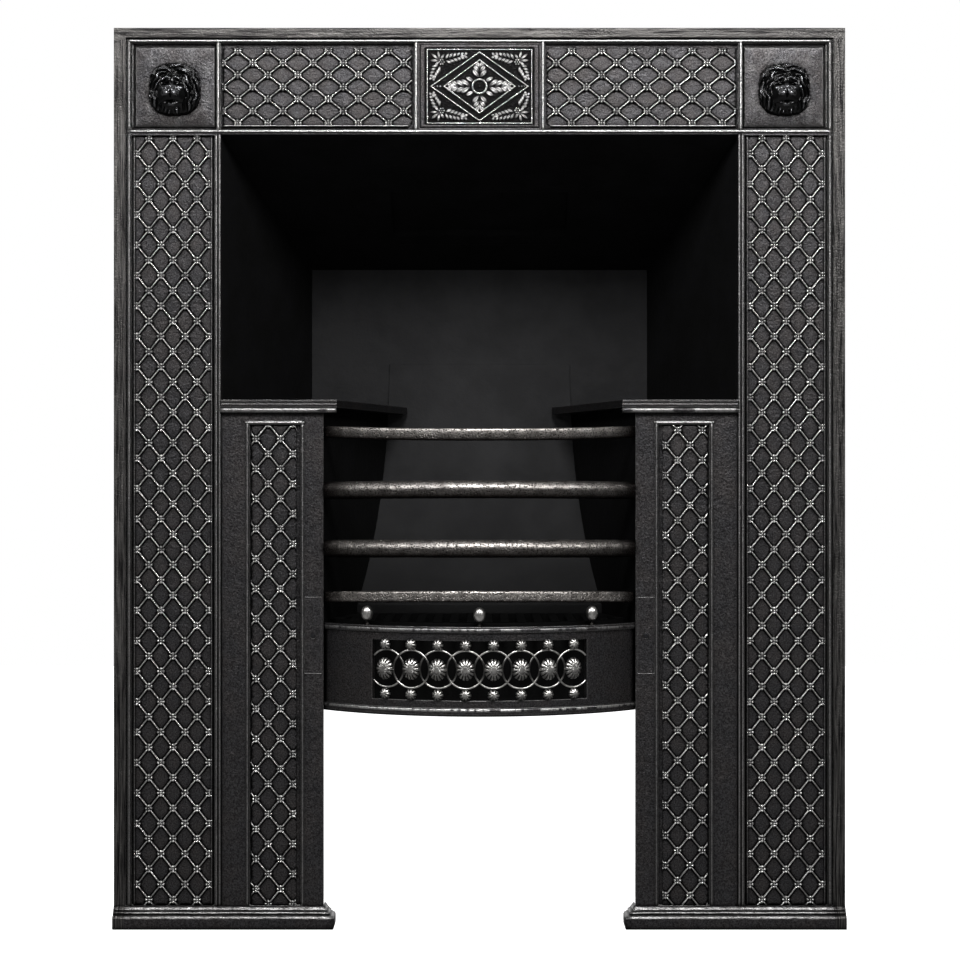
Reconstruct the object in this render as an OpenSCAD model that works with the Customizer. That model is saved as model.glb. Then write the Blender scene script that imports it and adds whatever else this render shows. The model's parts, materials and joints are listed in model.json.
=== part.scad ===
// Cast iron hob grate with a flat outer frame: jambs, header, two hobs,
// a bowed fire basket with a pierced ash fret, and a register flap in the roof.
// All sizes are in millimetres. X runs across, Y runs back from the front,
// Z runs up from the floor. Depths in this file are measured back from the
// front face of the jambs, and in_frame() shifts them to the model's origin.

/* [Frame] */
// Overall width across the two jambs
frame_w = 784; // [740:1:960]
// Overall height from the floor to the top edge
frame_h = 965; // [900:1:1200]
// Width of each jamb
jamb_w = 115; // [105:1:130]
// Height of the header across the top
header_h = 114; // [108:1:130]
// Thickness of the jambs, header and hob fronts
plate_t = 8; // [7:0.5:10]
// Width of the plain border round the outside
border_w = 12.5; // [8:0.5:14]
// Depth of the sunk fields that hold the lattice
field_depth = 4; // [2:0.5:5]
// Width of the sunk lattice field on a jamb
jamb_field_w = 89.4; // [60:0.2:92]
// Radius of the fine half-round beads
bead_r = 1.5; // [1:0.1:2]

/* [Header ornament] */
// Width of the raised centre tablet
tablet_w = 128; // [100:1:150]
// Height of the raised centre tablet
tablet_h = 89; // [80:1:90]
// How far the tablet's lozenge reaches each side of its middle
lozenge_half_w = 52; // [40:1:54]
// How far the tablet's lozenge reaches above and below its middle
lozenge_half_h = 36.7; // [30:0.1:38]
// Diameter of the lion mask in a corner block
mask_d = 58; // [46:1:60]
// How far the lion mask stands out of its corner block
mask_proud = 24; // [16:1:30]

/* [Hobs] */
// Height of the hob's top face above the floor
hob_h = 566; // [450:1:600]
// Width of each hob front
hob_w = 109.5; // [95:0.5:125]
// Thickness of the hob's top plate
hob_plate_t = 8; // [6:0.5:10]
// Depth of the moulded nosing under the hob's front edge
nosing_h = 14; // [12:0.5:18]
// Width of the sunk lattice field on a hob front
hob_field_w = 55.3; // [36:0.1:58]
// How far the hob plate overhangs the basket at its front
hob_overhang = 14.5; // [8:0.5:20]
// Height of the plinth at the foot
plinth_h = 24; // [20:0.5:34]
// How far the plinth stands in front of the jambs
plinth_proud = 11; // [8:0.5:14]

/* [Firebox] */
// Depth from the front face to the fireback
firebox_depth = 240; // [220:1:290]
// Thickness of the cheeks, fireback and roof castings
sheet_t = 7; // [6:0.5:9]
// How far each upper cheek leans in from front to back
cheek_splay = 78; // [50:1:90]
// How far the roof falls from front to back
roof_drop = 121; // [90:1:140]
// Height of the fireback's crease above the hobs
crease_rise = 51.5; // [40:0.5:60]
// Radius of the curved lower fireback
fireback_r = 384; // [360:1:430]

/* [Fire basket] */
// How far the front bars bow forward of their ends
bow = 70; // [50:1:80]
// Depth of the bars' ends behind the front face
bar_end_depth = 10; // [8:1:14]
// How far each basket cheek leans in from front to back
basket_splay = 62; // [40:1:75]
// Diameter of the two round bars
round_bar_d = 18.8; // [14:0.2:20]
// Height of the top bar, a flat bar on edge
top_bar_h = 13; // [10:0.5:16]
// Height of the lowest bar, a flat bar on edge
low_bar_h = 12; // [10:0.5:14]
// Thickness of both flat bars
flat_bar_t = 8; // [6:0.5:10]
// Middle of the top bar below the hob's top face
top_bar_drop = 36; // [30:0.5:40]
// Middle of the upper round bar below the hob's top face
upper_round_drop = 96.5; // [90:0.5:104]
// Middle of the lower round bar below the hob's top face
lower_round_drop = 158.5; // [150:0.5:165]
// Middle of the lowest bar below the hob's top face
low_bar_drop = 209.5; // [205:0.5:212]
// Diameter of the tenons that hold the bars in the cheeks
tenon_d = 8; // [6:0.5:10]
// Thickness of the loose bottom grate
grate_t = 10; // [8:0.5:14]
// Slot width between the bottom grate's bars
grate_slot_w = 9; // [7:0.5:12]
// Width of the bottom grate's bars
grate_bar_w = 9; // [7:0.5:12]

/* [Ash fret] */
// Top of the fret below the hob's top face
fret_drop = 239; // [236:0.5:244]
// Height of the fret
fret_h = 93.5; // [88:0.5:100]
// Thickness of the fret's panel
fret_t = 5; // [4:0.5:7]
// Height of the fret's top rail
fret_top_rail_h = 14.5; // [12:0.5:18]
// Height of the fret's bottom rail
fret_low_rail_h = 16.5; // [12:0.5:18]
// Number of interlaced rings
ring_count = 8; // [4:2:8]
// Spacing of the rings along the bow
ring_pitch = 28.9; // [26:0.1:29.5]
// Outside radius of a ring
ring_r = 20.8; // [18:0.1:21]
// Width of a ring's wire
ring_wire = 2; // [1.6:0.1:3]
// Width of a large boss
boss_w = 19; // [14:0.5:21]
// Height of a large boss
boss_h = 23; // [16:0.5:25]
// How far a large boss stands forward of the rings
boss_rise = 6; // [4:0.5:6]
// Diameter of a small boss
small_boss_d = 12; // [8:0.5:13]
// Width of an egg finial
finial_w = 13; // [10:0.5:15]
// Height of an egg finial
finial_h = 16.5; // [12:0.5:18]
// Spacing of the three finials across the bow
finial_pitch = 119; // [90:1:125]

/* [Register flap] */
// Width of the opening into the flue
flue_w = 200; // [160:1:220]
// Depth of the opening into the flue, front to back
flue_l = 76; // [60:1:80]
// Depth of the flue opening's front edge
flue_front = 100; // [80:1:105]
// Thickness of the flap
flap_t = 5; // [4:0.5:6]
// Diameter of the flap's hinge pin
pin_d = 8; // [6:0.5:10]
// Angle of the open flap behind the upright
flap_lean = 15; // [10:1:20]

/* [Fastenings] */
// Diameter of the studs cast on the plates
stud_d = 8; // [6:0.5:10]
// Width across the flats of the square nuts
nut_w = 15; // [12:0.5:18]
// Thickness of the square nuts
nut_t = 6; // [5:0.5:8]
// Diameter of the screw holes in the side lugs
lug_hole_d = 8; // [6:0.5:10]
// Height of the lower side lugs above the floor
lug_low = 150; // [100:5:200]
// Spacing of the side lugs, upper above lower
lug_rise = 600; // [500:5:620]
// Clearance of a running pin in its bore, on the radius
run_gap = 0.06; // [0.02:0.01:0.1]
// Clearance between castings that lie side by side
seat_gap = 0.3; // [0.1:0.1:0.5]

/* [Hidden] */
$fn = 64;
cut = 1;                                    // how far a cutter runs past a face
half_w = frame_w / 2;
open_half = half_w - jamb_w;                // half the width of the firebox opening
open_top = frame_h - header_h;
basket_half = open_half - hob_w;            // half the width between the hob fronts
basket_back_half = basket_half - basket_splay;
back_half = open_half - cheek_splay;
arc_r = (pow(basket_half, 2) + pow(bow, 2)) / (2 * bow);
arc_depth = bar_end_depth - bow + arc_r;    // depth of the bow's centre
round_front = bar_end_depth - bow - round_bar_d / 2;
rear_depth = firebox_depth + sheet_t;
back_lap_t = 3;                             // strip behind the joint in the fireback
back_lap_w = 8;
y_shift = -(rear_depth + back_lap_t + round_front) / 2;  // the origin is midway, front to back

fret_top = hob_h - fret_drop;
fret_low = fret_top - fret_h;
window_low = fret_low + fret_low_rail_h;
window_high = fret_top - fret_top_rail_h;
window_half_arc = ring_pitch * ring_count / 2 + 1.4;
ring_z = (window_low + window_high) / 2 + 1.1;
layer_gap = 0.2;                            // gap between the two layers of rings
grate_top = fret_top + 3;
ledge_h = 8;
ledge_w = 10;
grate_gap = 2;                              // the loose grate's clearance all round
crease_z = hob_h + crease_rise;
bar_drops = [top_bar_drop, upper_round_drop, lower_round_drop, low_bar_drop];
back_side_half = basket_half - basket_splay * (firebox_depth - plate_t) / (rear_depth - plate_t);
back_foot_depth = 120;                      // where the curved back turns upright
back_low = fret_low - 7;
back_rest_h = 5.5;
foot_w = 80;                                // width of the plate at the back of a hob
roof_angle = atan(roof_drop / (firebox_depth - plate_t));
hob_depth = 1;                              // the hob fronts lie a little behind the jambs
hob_gap = 0.5;                              // joint between a hob front and its jamb
field_edge = border_w + 6;                  // outer edge of the frame to a jamb's or corner's field
tablet_z = open_top + 51.3;
groove = 2;                                 // width and depth of the groove inside the border
bead_x = half_w - border_w - 4;             // the frame's outer upright bead
bead_top = frame_h - border_w - 1.7;        // the frame's upper bead
bead_low = open_top + 3;                    // the bead along the header's foot
twin_pitch = 3.6;                           // spacing of the two beads beside the opening
mask_x = half_w - 65;
mask_z = open_top + 49;
nosing_proud = 5;
stile_w = 22;                               // flange that a cheek turns out behind a plate
flange_t = 6;
tab_down = 40;                              // the header's tab, below and above the joint
tab_up = 30;
lap_w = 24;                                 // the jamb's strip behind a hob front
lap_end = 60;                               // the strip stops this far from the hob's ends
stud_clear = 0.3;
stud_r = stud_d / 2;
stud_end = plate_t + flange_t + nut_t + 4;  // a stud ends here, clear of its flange and nut
pin_r = pin_d / 2;
barrel_r = pin_r + 3;
hinge_lift = barrel_r + 0.5;                // the hinge axis above the roof's top face
ear_x = 70;
ear_w = 10;
hinge_depth = flue_front + flue_l + 12;
flap_l = (flue_l + 26) / cos(roof_angle);
flap_w = flue_w + 16;
flap_open = 90 - roof_angle + flap_lean;    // how far the flap turns from shut to open
flap_clear = 8;                             // the flap's plate stops this far from its axis
patch_x = basket_half + 2;
patch_low = fret_top - 54;                  // foot of the patch, low enough to take the rivet
patch_h = 82;
patch_w = 18;
patch_t = 3;
patch_seam = 0.2;
rivet_z = fret_top - 14;
rivet_r = 2.5;

// the sunk fields, each as two corners in X and Z
header_field = [[tablet_w / 2 + 6, open_top + 5], [open_half + 0.9, frame_h - 16.2]];
corner_field = [[open_half + 5, open_top + 5], [half_w - field_edge, frame_h - 16.2]];
jamb_field = [[half_w - field_edge - jamb_field_w, plinth_h], [half_w - field_edge, open_top - 1]];
hob_field = [[basket_half + 24.2, plinth_h], [basket_half + 24.2 + hob_field_w, hob_h - nosing_h - 12]];

iron = "#3a3a3c";
worn_iron = "#4a4a4c";
soot = "#232324";
bright = "#a9a9a8";
burnished = "#6c6a67";

// ---- placing ----

module in_frame() {
    translate([0, y_shift, 0]) children();
}

module on_side(side) {
    in_frame() scale([side, 1, 1]) children();
}

module both_sides() {
    for (side = [-1, 1]) scale([side, 1, 1]) children();
}

module rod_x(r, x0, x1) {
    translate([x0, 0, 0]) rotate([0, 90, 0]) cylinder(r = r, h = x1 - x0);
}

module rod_y(r, y0, y1) {
    translate([0, y0, 0]) rotate([-90, 0, 0]) cylinder(r = r, h = y1 - y0);
}

// A block given by its corners in X, depth and Z
module block(low, high) {
    translate(low) cube(high - low);
}

// An outline drawn in X and Z, made solid between two depths
module upright(d0, d1) {
    translate([0, d1, 0]) rotate([90, 0, 0]) linear_extrude(d1 - d0) children();
}

// A profile drawn in depth and Z, carried along X
module along_x(x0, x1) {
    translate([x0, 0, 0]) rotate([90, 0, 90]) linear_extrude(x1 - x0) children();
}

// A profile drawn in radius and Z, carried along the bow of the basket
module bowed(half_angle) {
    translate([0, arc_depth, 0]) rotate([0, 0, -90 - half_angle])
        rotate_extrude(angle = 2 * half_angle) children();
}

// The space between the hob fronts and basket cheeks, drawn in from them by gap
module basket_space(gap, z0, z1) {
    a = basket_half - gap;
    b = basket_back_half - gap;
    front = plate_t - bow * 2;
    translate([0, 0, z0]) linear_extrude(z1 - z0)
        polygon([[-a, front], [a, front], [a, plate_t], [b, firebox_depth + sheet_t + cut],
            [-b, firebox_depth + sheet_t + cut], [-a, plate_t]]);
}

// A layer of the given thickness on the underside of the sloping roof
module roof_layer(thick) {
    translate([0, plate_t, open_top]) rotate([-roof_angle, 0, 0])
        translate([-half_w, -plate_t * 4, 0]) cube([frame_w, firebox_depth * 2, thick]);
}

module bead_up(x, z0, z1) {
    translate([x, 0, z0]) cylinder(r = bead_r, h = z1 - z0);
}

module bead_across(z, x0, x1) {
    translate([0, 0, z]) rod_x(bead_r, x0, x1);
}

module square_nut(r = stud_r) {
    difference() {
        rotate([-90, 45, 0]) cylinder(d = nut_w * sqrt(2), h = nut_t, $fn = 4);
        rod_y(r + stud_clear / 2, -cut, nut_t + cut);
    }
}

function arc_angle(length) = length / arc_r * 180 / PI;
function ring_angle(i) = arc_angle(ring_pitch * (i - (ring_count - 1) / 2));
function roof_z(depth) = open_top - (depth - plate_t) * tan(roof_angle);
function back_depth(z) = firebox_depth - fireback_r + sqrt(pow(fireback_r, 2) - pow(crease_z - z, 2));

// ---- where the studs stand, each as [x, z] ----

header_studs = [for (dx = [24, 88]) [open_half + dx, open_top - 20]];
mask_stud = [mask_x, mask_z];
tablet_stud = [tablet_w * 0.32, tablet_z];
roof_stud = [open_half * 0.6, open_top + 22];
cheek_studs = [for (rise = [60, open_top - hob_h - 60]) [open_half + sheet_t + 9, hob_h + rise]];
hob_studs = [for (z = [hob_h - 70, fret_low + 40]) [basket_half + 16, z]];
lap_studs = [for (z = [hob_h - 120, 160]) [open_half - 12, z]];
back_studs = [for (rise = [24, open_top - roof_drop - hob_h - 34])
    [back_half + sheet_t + 12, hob_h + rise]];
hob_plate_stud_x = open_half - 40;
hob_plate_stud_d = firebox_depth - 18;

rivet_place = [patch_x + patch_w / 2, rivet_z];

module at_each(points) {
    for (p = points) translate([p[0], 0, p[1]]) children();
}

// A sunk field, cut into a casting between its two corners
module sunk(field) {
    block([field[0][0], -cut, field[0][1]], [field[1][0], field_depth, field[1][1]]);
}

// ---- the frame ----

module header() {
    color(iron) in_frame() {
        difference() {
            block([-half_w, 0, open_top], [half_w, plate_t, frame_h]);
            // sunk tablet seat, and the holes for its studs
            block([-tablet_w / 2 - seat_gap, -cut, tablet_z - tablet_h / 2 - seat_gap],
                [tablet_w / 2 + seat_gap, field_depth, tablet_z + tablet_h / 2 + seat_gap]);
            both_sides() {
                at_each([tablet_stud, mask_stud]) rod_y(stud_r + stud_clear, -cut, plate_t + cut);
                sunk(header_field);
                sunk(corner_field);
                // groove inside the plain border
                block([half_w - border_w - groove, -cut, open_top - cut],
                    [half_w - border_w, groove, frame_h - border_w]);
            }
            block([-half_w + border_w, -cut, frame_h - border_w],
                [half_w - border_w, groove, frame_h - border_w + groove]);
        }
        bead_across(bead_top, -bead_x, bead_x);
        bead_across(bead_low, -bead_x, bead_x);
        both_sides() {
            bead_up(bead_x, open_top, bead_top);
            for (x = [open_half + 3, tablet_w / 2 + 4]) bead_up(x, bead_low, bead_top);
            // tab that laps behind the jamb
            difference() {
                block([open_half + 10, plate_t, open_top - tab_down],
                    [half_w - 13, plate_t + flange_t, open_top + tab_up]);
                at_each(header_studs) rod_y(stud_r + stud_clear, 0, plate_t * 2);
            }
            at_each([roof_stud]) rod_y(stud_r, plate_t - cut, stud_end);
        }
    }
}

module jamb() {
    color(iron) {
        difference() {
            block([open_half, 0, 0], [half_w, plate_t, open_top]);
            sunk(jamb_field);
            block([half_w - border_w - groove, -cut, plinth_h],
                [half_w - border_w, groove, open_top + cut]);
        }
        for (x = [bead_x, open_half + bead_r, open_half + bead_r + twin_pitch])
            bead_up(x, plinth_h, open_top);
        // strip that laps behind the hob front
        difference() {
            block([open_half - lap_w, plate_t, lap_end],
                [open_half + lap_w / 2, plate_t + flange_t, hob_h - lap_end]);
            at_each(lap_studs) rod_y(stud_r + stud_clear, 0, plate_t * 2);
        }
        at_each(concat(header_studs, cheek_studs))
            rod_y(stud_r, plate_t - cut, stud_end);
        for (z = [lug_low, lug_low + lug_rise]) side_lug(z);
    }
}

// Lug for a screw into the side of the builder's opening
module side_lug(z) {
    reach = 36;                             // how far the lug stands behind the plate
    half_h = 22;
    difference() {
        block([half_w - 12, plate_t - cut, z - half_h], [half_w - 4, plate_t + reach, z + half_h]);
        translate([0, plate_t + reach - 14, z]) rod_x(lug_hole_d / 2, half_w - 20, half_w);
    }
}

module centre_tablet() {
    color(worn_iron) in_frame() {
        translate([0, 0, tablet_z]) {
            difference() {
                block([-tablet_w / 2, -1, -tablet_h / 2], [tablet_w / 2, field_depth, tablet_h / 2]);
                block([-tablet_w / 2 + 8, -1 - cut, -tablet_h / 2 + 5],
                    [tablet_w / 2 - 8, 1, tablet_h / 2 - 5]);
            }
            upright(-1, 2) difference() {
                lozenge(1);
                lozenge(0.93);
            }
            upright(-1, 2) difference() {
                lozenge(0.76);
                lozenge(0.71);
            }
            difference() {
                rod_y(8.6, -1.5, 2);
                rod_y(6.9, -1.5 - cut, 0);
            }
        }
        both_sides() at_each([tablet_stud])
            rod_y(stud_r, field_depth - cut, plate_t + nut_t + 4);
    }
}

module lozenge(share) {
    w = lozenge_half_w * share;
    h = lozenge_half_h * share;
    polygon([[-w, 0], [0, -h], [w, 0], [0, h]]);
}

// A plain lion's head in the round: mane, face, brow, muzzle and ears
module lion_mask() {
    mane_r = mask_d / 2;
    mane_rise = mask_proud * 0.5;
    mane_ball = (pow(mane_r, 2) + pow(mane_rise, 2)) / (2 * mane_rise);
    face_r = mane_r * 0.66;
    muzzle_r = mane_r * 0.37;
    color("#1d1d1f") translate([mask_x, field_depth, mask_z]) {
        difference() {
            union() {
                translate([0, mane_ball - mane_rise, 0]) sphere(r = mane_ball);
                translate([0, face_r - mask_proud * 0.83, 0]) sphere(r = face_r);
                translate([0, muzzle_r - mask_proud, -mane_r * 0.28]) sphere(r = muzzle_r);
                both_sides() {
                    translate([mane_r * 0.5, -mask_proud * 0.4, mane_r * 0.62])
                        sphere(r = mane_r * 0.2);
                    translate([mane_r * 0.27, -mask_proud * 0.72, mane_r * 0.24])
                        sphere(r = mane_r * 0.2);
                }
            }
            block([-mask_d * 2, 0, -mask_d * 2], [mask_d * 2, mask_d * 4, mask_d * 2]);
        }
        rod_y(stud_r, -mane_rise, plate_t - field_depth + nut_t + 4);
    }
}

module plinth_profile() {
    base_h = plinth_h * 0.48;
    neck = plinth_proud * 0.45;
    shoulder = plinth_proud - 2;
    polygon([[0, 0], [-plinth_proud, 0], [-plinth_proud, base_h], [-shoulder, base_h],
        [-shoulder, base_h + 5], [-neck, base_h + 9], [-neck, plinth_h], [0, plinth_h]]);
    translate([-shoulder, base_h + 2.7]) circle(r = 2.6);
}

module plinth() {
    inner = basket_half - plinth_proud;
    color(iron) {
        along_x(inner, half_w) plinth_profile();
        // return round the hob front's inner edge
        intersection() {
            translate([basket_half, 0, 0]) rotate([0, 0, -90]) along_x(-plate_t - 12, 0.5)
                plinth_profile();
            block([inner, -cut, 0], [basket_half, plate_t + 12, plinth_h]);
        }
    }
}

// ---- the hobs ----

module hob_front() {
    outer = open_half - hob_gap;
    bead_in = hob_field[0][0] - 2;
    bead_out = hob_field[1][0] + 2;
    bead_z = hob_h - nosing_h - 10;
    color(iron) {
        difference() {
            block([basket_half, hob_depth, 0], [outer, plate_t, hob_h - nosing_h]);
            sunk(hob_field);
            block([patch_x, 0, patch_low], [patch_x + patch_w, hob_depth + patch_t, patch_low + patch_h]);
            at_each([rivet_place]) rod_y(rivet_r + stud_clear, 0, plate_t + cut);
        }
        translate([0, hob_depth, 0]) {
            for (x = [bead_in, bead_out]) bead_up(x, plinth_h, bead_z);
            bead_across(bead_z, bead_in, bead_out);
        }
        at_each(concat(hob_studs, lap_studs))
            rod_y(stud_r, plate_t - cut, stud_end);
    }
}

module hob_patch() {
    color(iron) difference() {
        block([patch_x + patch_seam, hob_depth, patch_low + patch_seam],
            [patch_x + patch_w - patch_seam, hob_depth + patch_t, patch_low + patch_h - patch_seam]);
        at_each([rivet_place]) rod_y(rivet_r + stud_clear, 0, plate_t);
    }
}

module patch_rivets() {
    color(worn_iron) in_frame() both_sides() at_each([rivet_place]) {
        rod_y(rivet_r, hob_depth - 0.5, plate_t + flange_t + 1.5);
        rod_y(rivet_r + 2, plate_t + flange_t, plate_t + flange_t + 3);
    }
}

module hob_plate() {
    tip_x = basket_back_half - 20;
    tip_d = back_depth(hob_h - hob_plate_t) - seat_gap;
    inner_front = basket_half - hob_overhang;
    outer = open_half - hob_gap;
    seat_x = back_side_half + seat_gap + 1;
    back_x = open_half + sheet_t + 6;
    color(iron) {
        translate([0, 0, hob_h - hob_plate_t]) linear_extrude(hob_plate_t)
            polygon([[inner_front, -nosing_proud + 1], [outer, -nosing_proud + 1],
                [outer, plate_t + seat_gap], [back_x, plate_t + seat_gap], [back_x, rear_depth],
                [seat_x, rear_depth], [seat_x, tip_d], [tip_x + 8, tip_d], [tip_x, tip_d - 6]]);
        along_x(inner_front, outer) nosing_profile();
        translate([hob_plate_stud_x, hob_plate_stud_d, hob_h - hob_plate_t - flange_t - nut_t - 4])
            cylinder(r = stud_r, h = flange_t + nut_t + 5);
    }
}

// Torus, fillet and square edge under the front of the hob plate
module nosing_profile() {
    low = hob_h - nosing_h;
    torus_r = 3;
    polygon([[hob_depth, low], [-nosing_proud + torus_r, low], [-nosing_proud + torus_r, low + 6],
        [-nosing_proud + 1.5, low + 7.5], [-nosing_proud + 1.5, hob_h - 2.5], [-nosing_proud, hob_h - 2.5],
        [-nosing_proud, hob_h], [hob_depth + 1, hob_h], [hob_depth + 1, low + 3]]);
    translate([-nosing_proud + torus_r, low + torus_r]) circle(r = torus_r);
    translate([-nosing_proud + 2, low + 8.7]) circle(r = 1.6);
}

// Plate that stands at the back of the hob, turned forward under the hob plate
module hob_back() {
    inner = open_half - foot_w - 7;
    color(soot) difference() {
        union() {
            block([inner, firebox_depth - 8, 0], [inner + foot_w, firebox_depth, hob_h - hob_plate_t]);
            block([inner, firebox_depth - 34, hob_h - hob_plate_t - flange_t],
                [inner + foot_w, firebox_depth - 7, hob_h - hob_plate_t]);
        }
        translate([hob_plate_stud_x, hob_plate_stud_d, hob_h - hob_plate_t - flange_t - cut])
            cylinder(r = stud_r + stud_clear, h = flange_t + cut * 2);
    }
}

// ---- the firebox ----

module basket_cheek() {
    lean = atan(basket_splay / (rear_depth - plate_t));
    wall = (sheet_t + 1) / cos(lean);
    top = hob_h - hob_plate_t;
    low = fret_low + 0.5;
    color(soot) {
        difference() {
            union() {
                translate([0, 0, low]) linear_extrude(top - low)
                    polygon([[basket_half, plate_t], [basket_half + wall, plate_t],
                        [basket_back_half + wall, rear_depth], [basket_back_half, rear_depth]]);
                block([basket_half + 1, plate_t, low],
                    [basket_half + stile_w + 4, plate_t + flange_t, top]);
            }
            for (drop = concat(bar_drops, fret_drop + fret_h / 2))
                tenon_at(hob_h - drop, tenon_d / 2 + stud_clear, 20);
            at_each(hob_studs) rod_y(stud_r + stud_clear, 0, plate_t * 2);
            at_each([rivet_place]) rod_y(rivet_r + stud_clear, 0, plate_t * 2);
        }
        // ledge that carries the loose bottom grate
        intersection() {
            difference() {
                basket_space(-1, grate_top - grate_t - ledge_h, grate_top - grate_t);
                basket_space(ledge_w, 0, hob_h);
            }
            block([0, plate_t + 6, 0], [half_w, back_foot_depth - 1, hob_h]);
        }
        // rest under the foot of the curved back
        intersection() {
            difference() {
                basket_space(-1, back_low - back_rest_h, low + 8);
                basket_space(ledge_w, 0, hob_h);
            }
            union() {
                block([0, back_foot_depth, 0], [half_w, back_foot_depth + 14, back_low]);
                block([0, back_foot_depth + sheet_t + 1.3, 0], [half_w, back_foot_depth + 14, hob_h]);
            }
        }
    }
}

// A bar's tenon, or the hole for it, in the side of the basket
module tenon_at(z, r, reach) {
    translate([0, plate_t + tenon_d / 2, z]) rod_x(r, basket_half - 8, basket_half + reach);
}

module cheek_upper() {
    lean = atan(cheek_splay / (firebox_depth - plate_t));
    wall = sheet_t / cos(lean);
    color(soot) difference() {
        union() {
            translate([0, 0, hob_h]) linear_extrude(open_top - hob_h)
                polygon([[open_half, plate_t], [open_half + wall, plate_t],
                    [back_half + wall, firebox_depth], [back_half, firebox_depth]]);
            block([open_half + 1, plate_t, hob_h + 25],
                [open_half + sheet_t + 20, plate_t + flange_t, open_top - 42]);
            block([back_half + 2, firebox_depth - flange_t, hob_h],
                [back_half + sheet_t + 24, firebox_depth, open_top]);
        }
        roof_layer(frame_h);
        at_each(cheek_studs) rod_y(stud_r + stud_clear, 0, plate_t * 2);
        at_each(back_studs) rod_y(stud_r + stud_clear, firebox_depth - plate_t * 2, rear_depth);
    }
}

// The curved lower fireback: an arc that meets the upper back at the crease
module fireback_lower() {
    r = fireback_r;
    arc_low = crease_z - sqrt(pow(r, 2) - pow(r - firebox_depth + back_foot_depth, 2));
    color(soot) in_frame() intersection() {
        union() {
            intersection() {
                translate([0, firebox_depth - r, crease_z]) difference() {
                    rod_x(r + sheet_t, -basket_half, basket_half, $fn = 180);
                    rod_x(r, -basket_half - cut, basket_half + cut, $fn = 180);
                }
                block([-half_w, back_foot_depth, arc_low], [half_w, rear_depth, crease_z]);
            }
            block([-half_w, back_foot_depth, back_low],
                [half_w, back_foot_depth + sheet_t + 1, arc_low + 0.6]);
        }
        basket_space(seat_gap, back_low, crease_z);
    }
}

module fireback_upper() {
    half = back_half + sheet_t + 24;
    notch = back_side_half + seat_gap;
    color(soot) in_frame() {
        // strip that covers the joint with the curved back
        difference() {
            block([-notch - back_lap_w, rear_depth, hob_h],
                [notch + back_lap_w, rear_depth + back_lap_t, crease_z + back_lap_w]);
            block([-notch + back_lap_w, 0, 0],
                [notch - back_lap_w, firebox_depth * 2, crease_z - back_lap_w]);
        }
        difference() {
            block([-half, firebox_depth, hob_h], [half, rear_depth, open_top]);
            block([-notch, firebox_depth - cut, hob_h - cut], [notch, rear_depth + cut, crease_z]);
            roof_layer(frame_h);
        }
        both_sides() at_each(back_studs)
            rod_y(stud_r, firebox_depth - flange_t - nut_t - 4, firebox_depth + cut);
    }
}

module roof_slab() {
    intersection() {
        roof_layer(sheet_t);
        linear_extrude(frame_h)
            polygon([[-open_half - sheet_t, plate_t], [open_half + sheet_t, plate_t],
                [back_half + sheet_t * 2, rear_depth], [-back_half - sheet_t * 2, rear_depth]]);
    }
}

// The hinge's own axes: X along the pin, -Y up the flap when it is turned by angle
module at_hinge(angle) {
    z = roof_z(hinge_depth) + (sheet_t + hinge_lift) / cos(roof_angle);
    translate([0, hinge_depth, z]) rotate([-angle, 0, 0]) children();
}

module register_plate() {
    stop_x = ear_x + ear_w + 4;
    stop_w = 10;
    rib = stop_x + stop_w;
    color(soot) in_frame() {
        // rib behind the hinge that keeps the smoke in the flue
        at_hinge(roof_angle + flap_open)
            block([-rib, -24, barrel_r + 0.5], [rib, 17, barrel_r + 4.5]);
        difference() {
            union() {
                roof_slab();
                block([-open_half * 0.7, plate_t, open_top],
                    [open_half * 0.7, plate_t + flange_t, open_top + 40]);
            }
            block([-flue_w / 2, flue_front, 0], [flue_w / 2, flue_front + flue_l, frame_h]);
            both_sides() at_each([roof_stud]) rod_y(stud_r + stud_clear, 0, plate_t * 2);
        }
        both_sides() {
            at_hinge(roof_angle) difference() {
                union() {
                    rod_x(barrel_r, ear_x, ear_x + ear_w);
                    block([ear_x, -barrel_r, -hinge_lift - 2], [ear_x + ear_w, barrel_r, 0]);
                }
                rod_x(pin_r + run_gap, ear_x - cut, ear_x + ear_w + cut);
            }
            // stop that the open flap leans on
            at_hinge(roof_angle + flap_open)
                block([stop_x, -40, seat_gap - hinge_lift + 0.5 + flap_t], [rib, 15, barrel_r + 1]);
        }
    }
}

// The flap lies shut over the flue
module register_flap() {
    under = hinge_lift - 0.5;
    lug_in = ear_x - 20;                    // the flap's own barrels, just inside the ears
    lug_out = ear_x - 0.5;
    color(soot) in_frame() at_hinge(roof_angle) {
        difference() {
            union() {
                block([-flap_w / 2, -flap_l, -under], [flap_w / 2, -flap_clear, -under + flap_t]);
                both_sides() {
                    rod_x(barrel_r, lug_in, lug_out);
                    block([lug_in, -flap_clear - cut, -under], [lug_out, 0, -under + flap_t]);
                }
                // eye for the poker
                translate([0, -flap_l, -under]) cylinder(r = 11, h = flap_t);
            }
            both_sides() rod_x(pin_r + run_gap, lug_in - cut, ear_x + cut);
            translate([0, -flap_l - 3, -under - cut]) cylinder(r = 5, h = flap_t + cut * 2);
        }
    }
}

module flap_pin() {
    color(bright) in_frame() at_hinge(0) {
        rod_x(pin_r, -ear_x - ear_w - 1.5, ear_x + ear_w + 1.5);
        rod_x(pin_r + 2, ear_x + ear_w + 0.3, ear_x + ear_w + 2.5);
    }
}

// ---- the fire basket ----

bar_sweep = asin(basket_half / arc_r) + 6;

module flat_bar(z, h) {
    color(burnished) in_frame() {
        intersection() {
            bowed(bar_sweep) translate([arc_r - flat_bar_t / 2, z - h / 2]) square([flat_bar_t, h]);
            basket_space(seat_gap, z - h, z + h);
        }
        both_sides() tenon_at(z, tenon_d / 2, sheet_t - 1);
    }
}

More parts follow.
